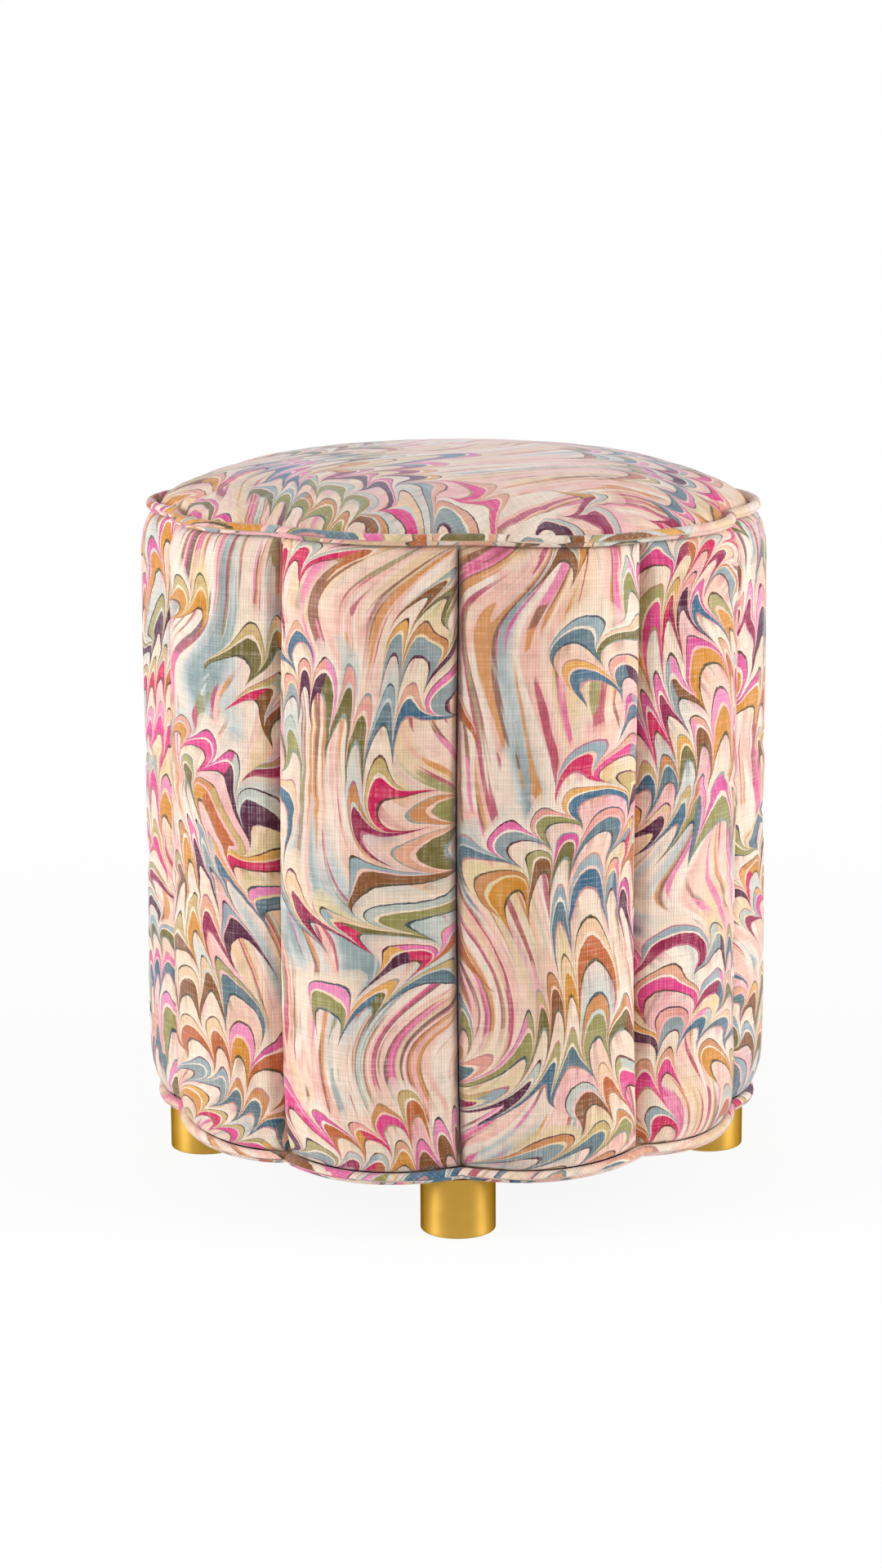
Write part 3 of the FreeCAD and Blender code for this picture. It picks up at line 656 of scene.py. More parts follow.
    def streaks(self, add: AddNode, ink: Socket) -> Socket:
        """Thin strokes over broad washes, both drawn out along the comb's way.

        Args:
            add: The function that adds nodes.
            ink: Places in the unstirred ink.

        Returns:
            The streaks' colour.
        """
        broad = add("TexNoise", add("Mapping", ink, None, None, (0.028, 0.004, 1.0)),
                    named={"Scale": 1.0, "Detail": 2.0, "Distortion": 0.6})
        washes = add("ValToRGB", add("MapRange", broad.outputs[0], 0.32, 0.68))
        fill_ramp(washes, self.washes)
        choice = add("TexNoise", add("Mapping", ink, (300.0, 0.0, 0.0), None, (0.05, 0.003, 1.0)),
                     named={"Scale": 1.0, "Detail": 1.0})
        strokes = self.pick(add, add("MapRange", choice.outputs[0], 0.28, 0.72), self.strokes)
        fine = add("TexNoise", add("Mapping", ink, None, None, (0.095, 0.005, 1.0)),
                   named={"Scale": 1.0, "Detail": 3.0, "Roughness": 0.5, "Distortion": 0.4})
        off_middle = add("Math", add("Math", fine.outputs[0], 0.5, operation="SUBTRACT"),
                         operation="ABSOLUTE")
        stroke = add("MapRange", off_middle, 0.065, 0.095, 0.0, 0.85)
        return add("Mix", stroke, named={6: washes, 7: strokes}, data_type="RGBA").outputs[2]

    def printed(self, add: AddNode, ink: Socket, cloth: Socket) -> Socket:
        """The whole print: bands of colour along each row's arcs, and streaks around them.

        Args:
            add: The function that adds nodes.
            ink: Places in the unstirred ink.
            cloth: Places on the flat cloth.

        Returns:
            The print's colour.
        """
        column, cell, rows = self.comb_through(add, ink, cloth)
        row, place = (add("Math", rows, operation=part) for part in ("FLOOR", "FRACT"))
        palettes = self.row_colours(add, column, cell, row)
        ground = self.streaks(add, ink)
        tail = add("MapRange", place, 0.62, 1.0, 0.0, 0.6)
        colour = add("Mix", tail, named={6: palettes["pale"], 7: ground}, data_type="RGBA").outputs[2]
        for palette, low, high in self.bands:
            above = add("Math", place, low, operation="GREATER_THAN")
            below = add("Math", place, high, operation="LESS_THAN")
            inside = add("Math", above, below, operation="MULTIPLY")
            colour = add("Mix", inside, named={6: colour, 7: palettes[palette]}, data_type="RGBA").outputs[2]
        # Whole arcs, never a part of one, give way to the streaks
        whole = add("CombineXYZ", add("Math", cell, 0.15, operation="MULTIPLY"),
                    add("Math", row, 0.3, operation="MULTIPLY"))
        zone = add("TexNoise", whole, named={"Scale": 1.0, "Detail": 1.0})
        where = add("Math", zone.outputs[0], self.streaky, operation="GREATER_THAN")
        return add("Mix", where, named={6: colour, 7: ground}, data_type="RGBA").outputs[2]

    def woven(self, add: AddNode, cloth: Socket, colour: Socket) -> tuple[Socket, Node]:
        """Ink on cloth: thin and thick patches, yarns that took less of it, and painted light and shade on
        the yarns.

        The yarns are sin(2 pi x / yarn) + 0.6 sin(2 pi y / yarn), with long slubs both ways.

        Args:
            add: The function that adds nodes.
            cloth: Places on the flat cloth.
            colour: The print's colour.

        Returns:
            The cloth's colour, and the height of its yarns.
        """
        wash = add("TexNoise", cloth, named={"Scale": 0.09, "Detail": 4.0, "Roughness": 0.65})
        thin = add("MapRange", wash.outputs[0], 0.45, 0.75, 0.0, 0.12)
        washed = add("Mix", thin, named={6: colour, 7: linear(self.thinned)}, data_type="RGBA")
        pool = add("MapRange", wash.outputs[0], 0.28, 0.5, 0.82, 1.0)
        pooled = add("Mix", 1.0, named={6: washed.outputs[2], 7: pool}, data_type="RGBA",
                     blend_type="MULTIPLY")
        slubs = [add("TexNoise", add("Mapping", cloth, None, None, drawn_out),
                     named={"Scale": 1.0, "Detail": 2.0})
                 for drawn_out in ((0.8, 0.03, 1.0), (0.03, 0.8, 1.0))]
        yarns = add("Math", slubs[0].outputs[0], slubs[1].outputs[0], operation="ADD")
        bare = add("MapRange", yarns, 1.02, 1.35, 0.0, 0.22)
        inked = add("Mix", bare, named={6: pooled.outputs[2], 7: linear(self.thread)}, data_type="RGBA")
        split = add("SeparateXYZ", cloth)
        warp, weft = (add("Math", add("Math", way, 2 * math.pi / self.yarn, operation="MULTIPLY"),
                          operation="SINE") for way in (split.outputs[0], split.outputs[1]))
        weave = add("Math", warp, add("Math", weft, 0.6, operation="MULTIPLY"), operation="ADD")
        # The yarns' relief is also painted into the colour: a painted highlight on each yarn and painted
        # shade beside it, over the bump. The slubs add the yarns' own tone and painted shade as well.
        light = add("Math", weave, 0.12, yarns, operation="MULTIPLY_ADD")
        painted_yarn_shade = add("MapRange", light, 0.4, 1.6, 0.74, 1.14)
        painted_yarn_shaded = add("Mix", 1.0, named={6: inked.outputs[2], 7: painted_yarn_shade}, data_type="RGBA",
                     blend_type="MULTIPLY")
        return painted_yarn_shaded.outputs[2], add("Math", weave, 0.3, yarns, operation="MULTIPLY_ADD")

    def make(self) -> Material:
        """Builds the material from the attributes ink and cloth, both in millimetres."""
        material, tree, surface, add = new_material(self.name, {
            "Roughness": 0.92, "Specular IOR Level": 0.25,
            # The sheen itself is real, but its slight blue tint is a painted cool cast in the cloth's
            # glancing reflection.
            "Sheen Weight": 0.4, "Sheen Tint": linear("#E4ECFF"), "Sheen Roughness": 0.5,
        })
        ink, cloth = (add("Attribute", attribute_name=name).outputs["Vector"] for name in ("ink", "cloth"))
        colour, relief = self.woven(add, cloth, self.printed(add, ink, cloth))
        tree.links.new(colour, surface.inputs["Base Color"])
        bump = add("Bump", named={"Strength": 0.5, "Distance": 0.0004, "Height": relief})
        tree.links.new(bump.outputs[0], surface.inputs["Normal"])
        return material


@dataclass(frozen=True)
class BrushedBrass:
    """Lacquered brass, satin finished: a very fine grain round the leg spreads its lights up and down.

    Attributes:
        name: The material's name.
        tones: The metal where the lacquer is cloudy, and where it is clear.
        edge: Colour of its glancing reflections, partly the metal's own edge tint and partly painted shade
            along the leg's outline.
        roughness: Middle roughness.
        grain: How far the brush lines raise and lower it.
        spread: How strongly they spread lights up and down, from 0 to 1.
    """

    name: str = "satin_brushed_brass"
    tones: tuple = ("#C19742", "#CAA04A")
    edge: str = "#8A7A5C"
    roughness: float = 0.46
    grain: float = 0.03
    spread: float = 0.75

    def make(self) -> Material:
        """Builds the material on Object coordinates."""
        material, tree, surface, add = new_material(self.name, {
            # The dark edge tint dims the glancing reflections: partly the brass's own edge tint, partly
            # painted shade along the leg's outline.
            "Metallic": 1.0, "Specular Tint": linear(self.edge),
            "Anisotropic": self.spread, "Anisotropic Rotation": 0.25,
        })
        place = add("TexCoord").outputs["Object"]
        # Brush lines 0.15 mm apart are drawn 0.5 mm apart, so that they show
        lines = add("Mapping", place, None, None, (30.0, 30.0, 2000.0))
        brush = add("TexNoise", lines, named={"Scale": 1.0, "Detail": 2.0})
        rough = add("MapRange", brush.outputs[0], 0.3, 0.7, self.roughness - self.grain,
                    self.roughness + self.grain)
        # Handling leaves the lacquer a little cloudy in patches a few centimetres wide
        cloud = add("TexNoise", place, named={"Scale": 45.0, "Detail": 2.0})
        tone = add("ValToRGB", cloud.outputs[0])
        fill_ramp(tone, list(zip((0.35, 0.65), self.tones)))
        round_axis = add("Tangent", direction_type="RADIAL", axis="Z")
        tree.links.new(tone.outputs[0], surface.inputs["Base Color"])
        tree.links.new(rough.outputs[0], surface.inputs["Roughness"])
        tree.links.new(round_axis.outputs[0], surface.inputs["Tangent"])
        return material


class Grain(Enum):
    """How the texture of a plain inner material runs: its stretch along x, y and z."""

    FINE = (400.0, 400.0, 400.0)
    UPRIGHT = (220.0, 220.0, 9.0)
    SHEET = (160.0, 12.0, 160.0)


@dataclass(frozen=True)
class PlainFinish:
    """An unseen or small part's material: two tones, with a grain in colour and relief."""

    name: str
    light: str
    dark: str
    roughness: float
    grain: Grain = Grain.FINE
    metallic: float = 0.0

    def make(self) -> Material:
        """Builds the material on Object coordinates."""
        material, tree, surface, add = new_material(
            self.name, {"Roughness": self.roughness, "Metallic": self.metallic})
        place = add("Mapping", add("TexCoord").outputs["Object"], None, None, self.grain.value)
        noise = add("TexNoise", place, named={"Scale": 1.0, "Detail": 4.0})
        ramp = add("ValToRGB", noise.outputs[0])
        fill_ramp(ramp, [(0.35, self.dark), (0.65, self.light)])
        tree.links.new(ramp.outputs[0], surface.inputs["Base Color"])
        bump = add("Bump", named={"Strength": 0.2, "Distance": 0.0002, "Height": noise.outputs[0]})
        tree.links.new(bump.outputs[0], surface.inputs["Normal"])
        return material


# The upholstery


@dataclass
class Flutes:
    """Ten padded channels round the body, each sewn down along its creases.

    Attributes:
        crest_top: Reach of the crests at the top of the side.
        crest_base: The same at the base.
        dent_drop: How much less the creases reach.
        top_shoulder: Height over which the side rolls in to the rim.
        base_shoulder: The same at the base.
        roll: Width of the edge that turns in to the seam.
        roll_depth: How deep it turns in.
        gap: Distance of the cloth from the seam's middle.
        slack: How much flatter the crests are before they are stretched.
        stray: How far a seam leans, more or less.
        shiver: How far they waver on the way up.
        crease_end: Share of the crease's width that is left at its ends.
        end_height: Height over which the ends follow the rim and the base.
        gather: Height of the gathers along the seams.
        gather_waves: Length of each of their waves, in metres, and its share.
        fold: Height of the folds at the top and the base.
        fold_waves: Length of each of their waves, in metres, and its share.
        back_gap: Distance of the unseen back from the drum.
        back_size: Share of the face's width and of its height that the back has.
        back_rise: How far the back is raised.
        cloth_start: Place of the first flute's cloth on the printed length, in millimetres.
        cloth_step: How far the next one's is from it.
        cloth_size: Where the places start again.
        columns: Columns of points from a crest to the roll, and round the roll.
        rows: Rows of points on the base shoulder, the side and the top shoulder.
    """

    crest_top: float = 198 * MM
    crest_base: float = 200 * MM
    dent_drop: float = 15 * MM
    top_shoulder: float = 24 * MM
    base_shoulder: float = 31 * MM
    roll: float = 7 * MM
    roll_depth: float = 12 * MM
    gap: float = 0.25 * MM
    slack: float = 0.8 * MM
    stray: float = 5.0 * MM
    shiver: float = 0.6 * MM
    crease_end: float = 0.4
    end_height: float = 60 * MM
    gather: float = 0.16 * MM
    gather_waves: tuple = ((0.0021, 1.0), (0.0034, 0.8), (0.0057, 0.9))
    fold: float = 0.22 * MM
    fold_waves: tuple = ((0.0046, 1.0), (0.0083, 1.0))
    back_gap: float = 0.6 * MM
    back_size: tuple = (0.96, 0.985)
    back_rise: float = 2.5 * MM
    cloth_start: tuple = (90, 60)
    cloth_step: tuple = (173, 311)
    cloth_size: tuple = (900, 610)
    columns: tuple = (10, 5)
    rows: tuple = (8, 56, 6)

    def section(self) -> tuple[Array, ...]:
        """The columns of a flute's grid, from one seam over the crest to the other.

        The middle is even steps to the roll's width from the seam. Each end turns in on a
        quarter ellipse: distance roll (1 - sin t), drop depth (1 - cos t).

        Returns:
            The sign of the side, the share of the way from the roll to the crest, the
            distance from the seam that is added to it, and the drop.
        """
        wide, round_ = self.columns
        turn = np.linspace(0, 1, round_ + 1)[1:] * math.pi / 2
        share = np.concatenate([np.linspace(1, 0, wide), np.zeros(round_)])
        near = np.concatenate([np.full(wide, self.roll), self.roll * (1 - np.sin(turn))]) + self.gap
        drop = np.concatenate([np.zeros(wide), self.roll_depth * (1 - np.cos(turn))])
        side = np.ones(wide + round_)
        return (np.concatenate([-side[::-1], side[1:]]),
                *(np.concatenate([half[::-1], half[1:]]) for half in (share, near, drop)))

    def profile(self) -> tuple[Array, Array, Array]:
        """The rows of a flute's grid: height, share of the way out, and share up the side.

        Both shoulders are quarter ellipses, level at the seam and upright at the side.
        """
        base_rows, side_rows, top_rows = self.rows
        low = np.linspace(0, 1, base_rows + 1)[:-1] * math.pi / 2
        top = np.linspace(0, 1, top_rows + 1)[1:] * math.pi / 2
        base_z = BASE_SEAM + self.base_shoulder * (1 - np.cos(low))
        top_start = RIM_SEAM - self.top_shoulder
        straight = np.linspace(BASE_SEAM + self.base_shoulder, top_start, side_rows)
        z = np.concatenate([base_z, straight, top_start + self.top_shoulder * np.sin(top)])
        out = np.concatenate([np.sin(low), np.ones(side_rows), np.cos(top)])
        return z, out, np.clip((z - BASE_SEAM) / (RIM_SEAM - BASE_SEAM), 0, 1)

    def reaches(self, out: Array, up: Array) -> tuple[Array, Array]:
        """Reach of the crests and of the creases, which go from a seam's out to the side's.

        Args:
            out: Share of the way out.
            up: Share of the way up the side.

        Returns:
            The crests' reach and the creases' reach.
        """
        side = self.crest_base + (self.crest_top - self.crest_base) * up
        rim, base = scallop_inset(*RIM, BESIDE_PIPING), scallop_inset(*BASE_RIM, BESIDE_PIPING)
        crest, dent = (np.where(up > 0.5, at_rim, at_base) for at_rim, at_base in zip(rim, base))
        return crest + (side - crest) * out, dent + (side - self.dent_drop - dent) * out

    def face(self, number: int) -> Array:
        """The outer face of a flute before it is stretched.

        Args:
            number: Which flute, anticlockwise from the one on +X.

        Returns:
            A grid of points, from the base up and anticlockwise.
        """
        side, share, near, drop = (column[None, :] for column in self.section())
        z, out, up = (row[:, None] for row in self.profile())
        # The crease is narrower and shallower where the piping ends it
        tight = self.crease_end + (1 - self.crease_end) * out
        near = self.gap + (near - self.gap) * tight
        crest, dent = self.reaches(out, up)
        from_seam = near / dent + share * (HALF_LOBE - (self.roll * tight + self.gap) / dent)
        turn = side * (HALF_LOBE - from_seam)
        swell = self.slack * np.cos(turn / HALF_LOBE * math.pi / 2) * out
        seam = np.where(turn < 0, number - 1, number) % LOBES
        rounding = HAND.rounding(seam, up > 0.5) * (1 - out)
        reach = rounded_reach(crest, dent, turn, rounding) - drop * tight - swell
        even = turn + 2 * HALF_LOBE * number
        after = 0.5 + 0.5 * turn / HALF_LOBE
        lean = self.lean((number - 1) % LOBES, up) * (1 - after) + self.lean(number, up) * after
        around = even + HAND.turn(even) + lean / HAND.side
        x, y = reach * np.cos(around), reach * np.sin(around)
        low, high = (np.clip(1 - ends / self.end_height, 0, 1) ** 2
                     for ends in (z - BASE_SEAM, RIM_SEAM - z))
        sunk = HAND.lift(even, at_rim=False) - BASE_SAG * (1 - (turn / HALF_LOBE) ** 2)
        shift = HAND.lift(even) * high + sunk * low
        return np.stack([x, y, z + shift], axis=2)

    def lean(self, seam: int, up: Array) -> Array:
        """How far a seam strays from upright: pulled clockwise by hand, most a third of the way up.

        The pull is sin(pi up^0.6), and the wavering is sin(2 pi up + seam) sin(pi up).

        Args:
            seam: The seam's number.
            up: Share of the way up the side.

        Returns:
            The distance along the side, in metres.
        """
        most = self.stray * (0.8 + 0.35 * math.sin(2.3 * seam + 0.6))
        waver = self.shiver * np.sin(2 * math.pi * up + seam) * np.sin(math.pi * up)
        return -most * np.sin(math.pi * up**0.6) + waver

    def back(self, face: Array, angle: float) -> Array:
        """The unseen back of a flute, against the drum: the face's directions at the drum's radius."""
        width, height = self.back_size
        turn = np.arctan2(face[:, :, 1], face[:, :, 0])
        middle = np.arctan2(math.sin(angle), math.cos(angle))
        off = (turn - middle + math.pi) % (2 * math.pi) - math.pi
        turn = middle + off * width
        reach = DRUM + self.back_gap
        z = BASE_SEAM + (face[:, :, 2] - BASE_SEAM) * height + self.back_rise
        return np.stack([reach * np.cos(turn), reach * np.sin(turn), z], axis=2)

    def puckers(self, face: Array, number: int) -> Array:
        """Small gathers along the seams, and folds at the ends, pushed along the face's normals.

        Along a seam the push is a sum of three sines of unlike length, and it fades as
        exp(-d / 9 mm) away from the seam. At the ends two sines across fade as exp(-d / 12 mm).

        Args:
            face: The stretched face.
            number: Which flute, which sets where the sines start.

        Returns:
            The face with its gathers.
        """
        height = face[:, :, 2]
        across = run_length(face, 1)
        width = across[:, -1:]
        from_edge = np.minimum(across, width - across)
        start = 1.7 * number + np.where(across < width / 2, 0.0, 2.3)
        fade = np.exp(-np.maximum(from_edge - 8 * MM, 0) / (9 * MM)) * np.clip(from_edge / (6 * MM), 0, 1)
        ends = np.minimum(height - BASE_SEAM, RIM_SEAM - height)
        end_fade = np.exp(-np.maximum(ends, 0) / (12 * MM)) * np.clip(ends / (4 * MM), 0, 1)
        push = (self.gather * ripples(height, start, self.gather_waves) * fade
                + self.fold * ripples(across, start, self.fold_waves) * end_fade)
        return face + grid_normals(face) * push[:, :, None]

    def build(self, linen: Linen, material: Material) -> None:
        """Makes the ten flutes and puts them in place of their solids."""
        faces = [self.face(k) for k in range(LOBES)]
        faces = linen.stretch(faces, 3 * self.slack, held=6)
        for k, face in enumerate(faces):
            face = self.puckers(refine(face), k)
            rows, columns = face.shape[:2]
            width = run_length(face, 1)[rows // 2]
            x, y = (start + (k * step) % size for start, step, size
                    in zip(self.cloth_start, self.cloth_step, self.cloth_size))
            cloth = np.zeros_like(face)
            cloth[:, :, 0] = (width - width[-1] / 2)[None, :] / MM + x
            cloth[:, :, 1] = run_length(face, 0)[:, columns // 2][:, None] / MM + y
            back = self.back(face, 2 * HALF_LOBE * k)
            piece = pillow(f"flute_{k + 1:02d}", face, back, cloth, material)
            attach(piece, BODY)
            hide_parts(f"side_panel_{k + 1:02d}", f"flute_pad_{k + 1:02d}")
            log.info("%s: %d faces", piece.name, len(piece.data.polygons))


def disc(steps: int) -> tuple[Array, Array]:
    """A square grid bent into a disc, as shares of the radius and angles.

    For (a, b) on the square the share is max(|a|, |b|), and the angle goes evenly along
    the square's sides: 45 degrees times b / a, or 90 degrees less 45 degrees times a / b.

    Args:
        steps: Steps along a side of the square, an even number.

    Returns:
        The share and the angle at each point of the grid.
    """
    line = np.linspace(-1, 1, steps + 1)
    a, b = np.meshgrid(line, line)
    share = np.maximum(np.abs(a), np.abs(b))
    safe_a, safe_b = np.where(a == 0, 1, a), np.where(b == 0, 1, b)
    wide = np.abs(a) >= np.abs(b)
    angle = np.where(wide, math.pi / 4 * b / safe_a, math.pi / 2 - math.pi / 4 * a / safe_b)
    return share, angle + np.where(np.where(wide, a, b) < 0, math.pi, 0)


@dataclass
class Crown:
    """The domed top: a foam and fibre cushion under one panel, sewn to the piping all round.

    Attributes:
        rise: Height of the dome.
        flatness: How flat its middle is.
        edge: How steeply its edge comes up.
        fade: How soon the scallops fade towards the middle.
        steps: Steps of the grid from side to side.
        slack: How much lower the dome is before it is stretched.
        pleat: Depth of the pleats at a rounded dent.
        gathered: How much deeper they are at a sharp dent.
        pit: Depth of the pit there.
        folds: Height of the folds that run out from it.
        ripple: Height of the ripples along the rim.
        under: How far the unseen back lies below the seam.
        cloth_turn: How far the crown's cloth is turned on the printed length, in degrees.
        cloth_place: Where its middle lies there, in millimetres.
    """

    rise: float = 37.0 * MM
    flatness: float = 2.42
    edge: float = 0.55
    fade: float = 3.0
    steps: int = 80
    slack: float = 2.0 * MM
    pleat: float = 0.3 * MM
    gathered: float = 2.6 * MM
    pit: float = 3.0 * MM
    folds: float = 0.8 * MM
    ripple: float = 0.18 * MM
    under: float = 3.0 * MM
    cloth_turn: float = 64
    cloth_place: tuple = (1000, 1010)

    def face(self) -> Array:
        """The crown before it is stretched, for a share s of the way out.

        The height is rise (1 - s^flatness)^edge, and the scallops fade as s^fade.
        """
        share, angle = disc(self.steps)
        crest, dent = scallop_inset(*RIM, BESIDE_PIPING)
        rounding = HAND.rounding(nearest_seam(angle), True) * share
        # The least bit more than nothing keeps the middle from a division by 0
        crests = crest * share + 1e-9
        dents = (crest - (crest - dent) * share**self.fade) * share + 5e-10
        reach = rounded_reach(crests, dents, angle, rounding)
        dome = (self.rise - self.slack) * (1 - share**self.flatness) ** self.edge
        height = dome + HAND.lift(angle) * share**4
        turned = angle + HAND.turn(angle) * share**2
        return np.stack([reach * np.cos(turned), reach * np.sin(turned), CROWN_SEAM + height], axis=2)

    def puckers(self, face: Array) -> Array:
        """Pleats that run in from the rim, deepest at the dents, fading as exp(-d / 20 mm).

        At a sharp dent the cloth is also pinched down to a pit, and fine folds run out from it.
        A cosine across each dent, under a bell curve, makes the pleats. A bell curve round the
        dent makes the pit, and a cosine of 9 times the direction from it makes the folds.

        Args:
            face: The stretched crown.

        Returns:
            The crown with its pleats.
        """
        angle = np.arctan2(face[:, :, 1], face[:, :, 0])
        angle = angle - HAND.turn(angle)
        reach = np.hypot(face[:, :, 0], face[:, :, 1])
        crest, dent = scallop_inset(*RIM, BESIDE_PIPING)
        seam = nearest_seam(angle)
        rounding = HAND.rounding(seam, True)
        inward = rounded_reach(np.array(crest), np.array(dent), angle, rounding) - reach
        across = ((angle % (2 * HALF_LOBE)) - HALF_LOBE) * reach
        place = across / (4 * MM + 0.35 * inward)
        pleat = np.cos(place * 2.2 + 0.9 * np.sin(seam * 2.4)) * np.exp(-((place / 2.2) ** 2))
        fade = np.exp(-inward / (20 * MM)) * np.clip(inward / (3 * MM), 0, 1)
        ripple = np.sin(angle * 61) + 0.8 * np.sin(angle * 97 + 1) + 0.6 * np.sin(angle * 143 + 2)
        ripple_fade = np.exp(-inward / (9 * MM)) * np.clip(inward / (4 * MM), 0, 1)
        # A sharp dent gathers more cloth than a rounded one
        sharp = np.exp(-((rounding / (8 * MM)) ** 2))
        depth = self.pleat + self.gathered * sharp
        from_pit = np.hypot(across, inward)
        pit = self.pit * np.exp(-((from_pit / (6 * MM)) ** 2))
        way = np.arctan2(across, inward + 1 * MM)
        folds = self.folds * np.cos(9 * way + seam) * np.exp(-from_pit / (17 * MM))
        pinch = sharp * (pit + folds * np.clip(from_pit / (5 * MM), 0, 1)) * np.clip(inward / (2 * MM), 0, 1)
        push = -depth * pleat * fade - pinch + self.ripple * ripple * ripple_fade
        return face + grid_normals(face) * push[:, :, None]

    def build(self, linen: Linen, material: Material) -> None:
        """Makes the crown and puts it in place of its solids."""
        face = self.face()
        face = linen.stretch([face], 2 * self.slack)[0]
        face = self.puckers(refine(face))
        back = face.copy()
        back[:, :, 2] = CROWN_SEAM - self.under
        turn, (x, y) = math.radians(self.cloth_turn), self.cloth_place
        cloth = np.zeros_like(face)
        cloth[:, :, 0] = (face[:, :, 0] * math.cos(turn) - face[:, :, 1] * math.sin(turn)) / MM + x
        cloth[:, :, 1] = (face[:, :, 0] * math.sin(turn) + face[:, :, 1] * math.cos(turn)) / MM + y
        piece = pillow("crown", face, back, cloth, material)
        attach(piece, BODY)
        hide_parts("top_panel", "crown_wadding", "seat_foam")
        log.info("%s: %d faces", piece.name, len(piece.data.polygons))


@dataclass
class Piping:
    """A corded welt that follows the scallops and is nipped in at each dent.

    Attributes:
        name: The piece's name.
        solid: The node that it stands for, with its cord.
        crest: Reach of its middle at the crests.
        dent: The same at the dents.
        level: Height of its middle at the dents.
        at_rim: Whether it follows the rim's hand work, or the base's.
        radius: Radius of the welt.
        cleft: Depth of the cleft where two lengths meet.
        slant: How far the cleft slants across the welt.
        sag: How much lower it hangs at the crests.
        start: Place of its cloth in the ink, in millimetres.
        around: Points round it.
        along: Points along each lobe.
    """

    name: str
    solid: str
    crest: float
    dent: float
    level: float
    at_rim: bool
    radius: float = 3.5 * MM
    cleft: float = 0.5 * MM
    slant: float = 1.2 * MM
    sag: float = 0.0
    start: float = 0.0
    around: int = 20
    along: int = 120

    def path(self) -> tuple[Array, Array, Array]:
        """The welt's middle: the scalloped outline, hanging sag (1 - (1 - d)^2) a share d from a dent.

        Returns:
            The points, the angle of each from its dent, and how sharp the dent is, from 0 to 1.
        """
        angle = np.linspace(0, 2 * math.pi, self.along * LOBES, endpoint=False)
        off = (angle % (2 * HALF_LOBE)) - HALF_LOBE
        rounding = HAND.rounding(nearest_seam(angle), self.at_rim)
        reach = rounded_reach(np.array(self.crest), np.array(self.dent), angle, rounding)
        hang = self.sag * (1 - (1 - np.abs(off) / HALF_LOBE) ** 2)
        level = self.level - hang + HAND.lift(angle, self.at_rim)
        turned = angle + HAND.turn(angle)
        points = np.stack([reach * np.cos(turned), reach * np.sin(turned), level], axis=1)
        return points, off, np.exp(-((rounding / (6 * MM)) ** 2))

    def build(self, material: Material) -> None:
        """Makes the tube: a circle carried along the outline, and puts it in place of its solids."""
        path, off, sharp = self.path()
        count = len(path)
        nip = sharp * np.exp(-((off * self.dent / (4 * MM)) ** 2))
        ahead = np.roll(path, -1, axis=0) - np.roll(path, 1, axis=0)
        ahead /= np.linalg.norm(ahead, axis=1, keepdims=True)
        outward = np.stack([ahead[:, 1], -ahead[:, 0], np.zeros(count)], axis=1)
        roll = np.linspace(0, 2 * math.pi, self.around, endpoint=False)
        length = np.concatenate([[0], np.cumsum(np.linalg.norm(np.diff(path, axis=0), axis=1))])
        wave = np.sin(length[:, None] / 0.0023 + 2 * np.cos(roll)[None, :])
        wrinkle = 1 + 0.02 * wave * (0.3 + nip[:, None])
        # Where two lengths meet at a dent, their cloth turns in along a slanted line
        joint = off[:, None] * self.dent - self.slant * np.sin(roll)[None, :]
        cleft = self.cleft * sharp[:, None] * np.exp(-((joint / (0.8 * MM)) ** 2))
        radius = self.radius * (1 - 0.06 * nip[:, None]) * wrinkle - cleft
        points = (path[:, None, :] + outward[:, None, :] * (radius * np.cos(roll)[None, :])[:, :, None]
                  + np.array([0, 0, 1.0]) * (radius * np.sin(roll)[None, :])[:, :, None])
        faces = grid_quads(count, self.around, ring=True, loop=True)
        piece = mesh_object(self.name, points, faces[:, ::-1], material)
        # The cloth is cut on the bias, and the print is drawn at twice its size on so narrow a strip
        along = np.broadcast_to(length[:, None] / MM, points.shape[:2])
        round_ = np.broadcast_to(roll[None, :] * self.radius / MM, points.shape[:2])
        bias = math.sqrt(0.5)
        flat = np.stack([(along - round_) * bias, (along + round_) * bias, np.zeros_like(along)], axis=2)
        store(piece, "cloth", flat.reshape(-1, 3))
        store(piece, "ink", marble(flat.reshape(-1, 3) * 0.5 + self.start))
        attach(piece, BODY)
        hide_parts(self.solid, f"{self.solid}_cord")
        log.info("%s: %d faces", piece.name, len(piece.data.polygons))


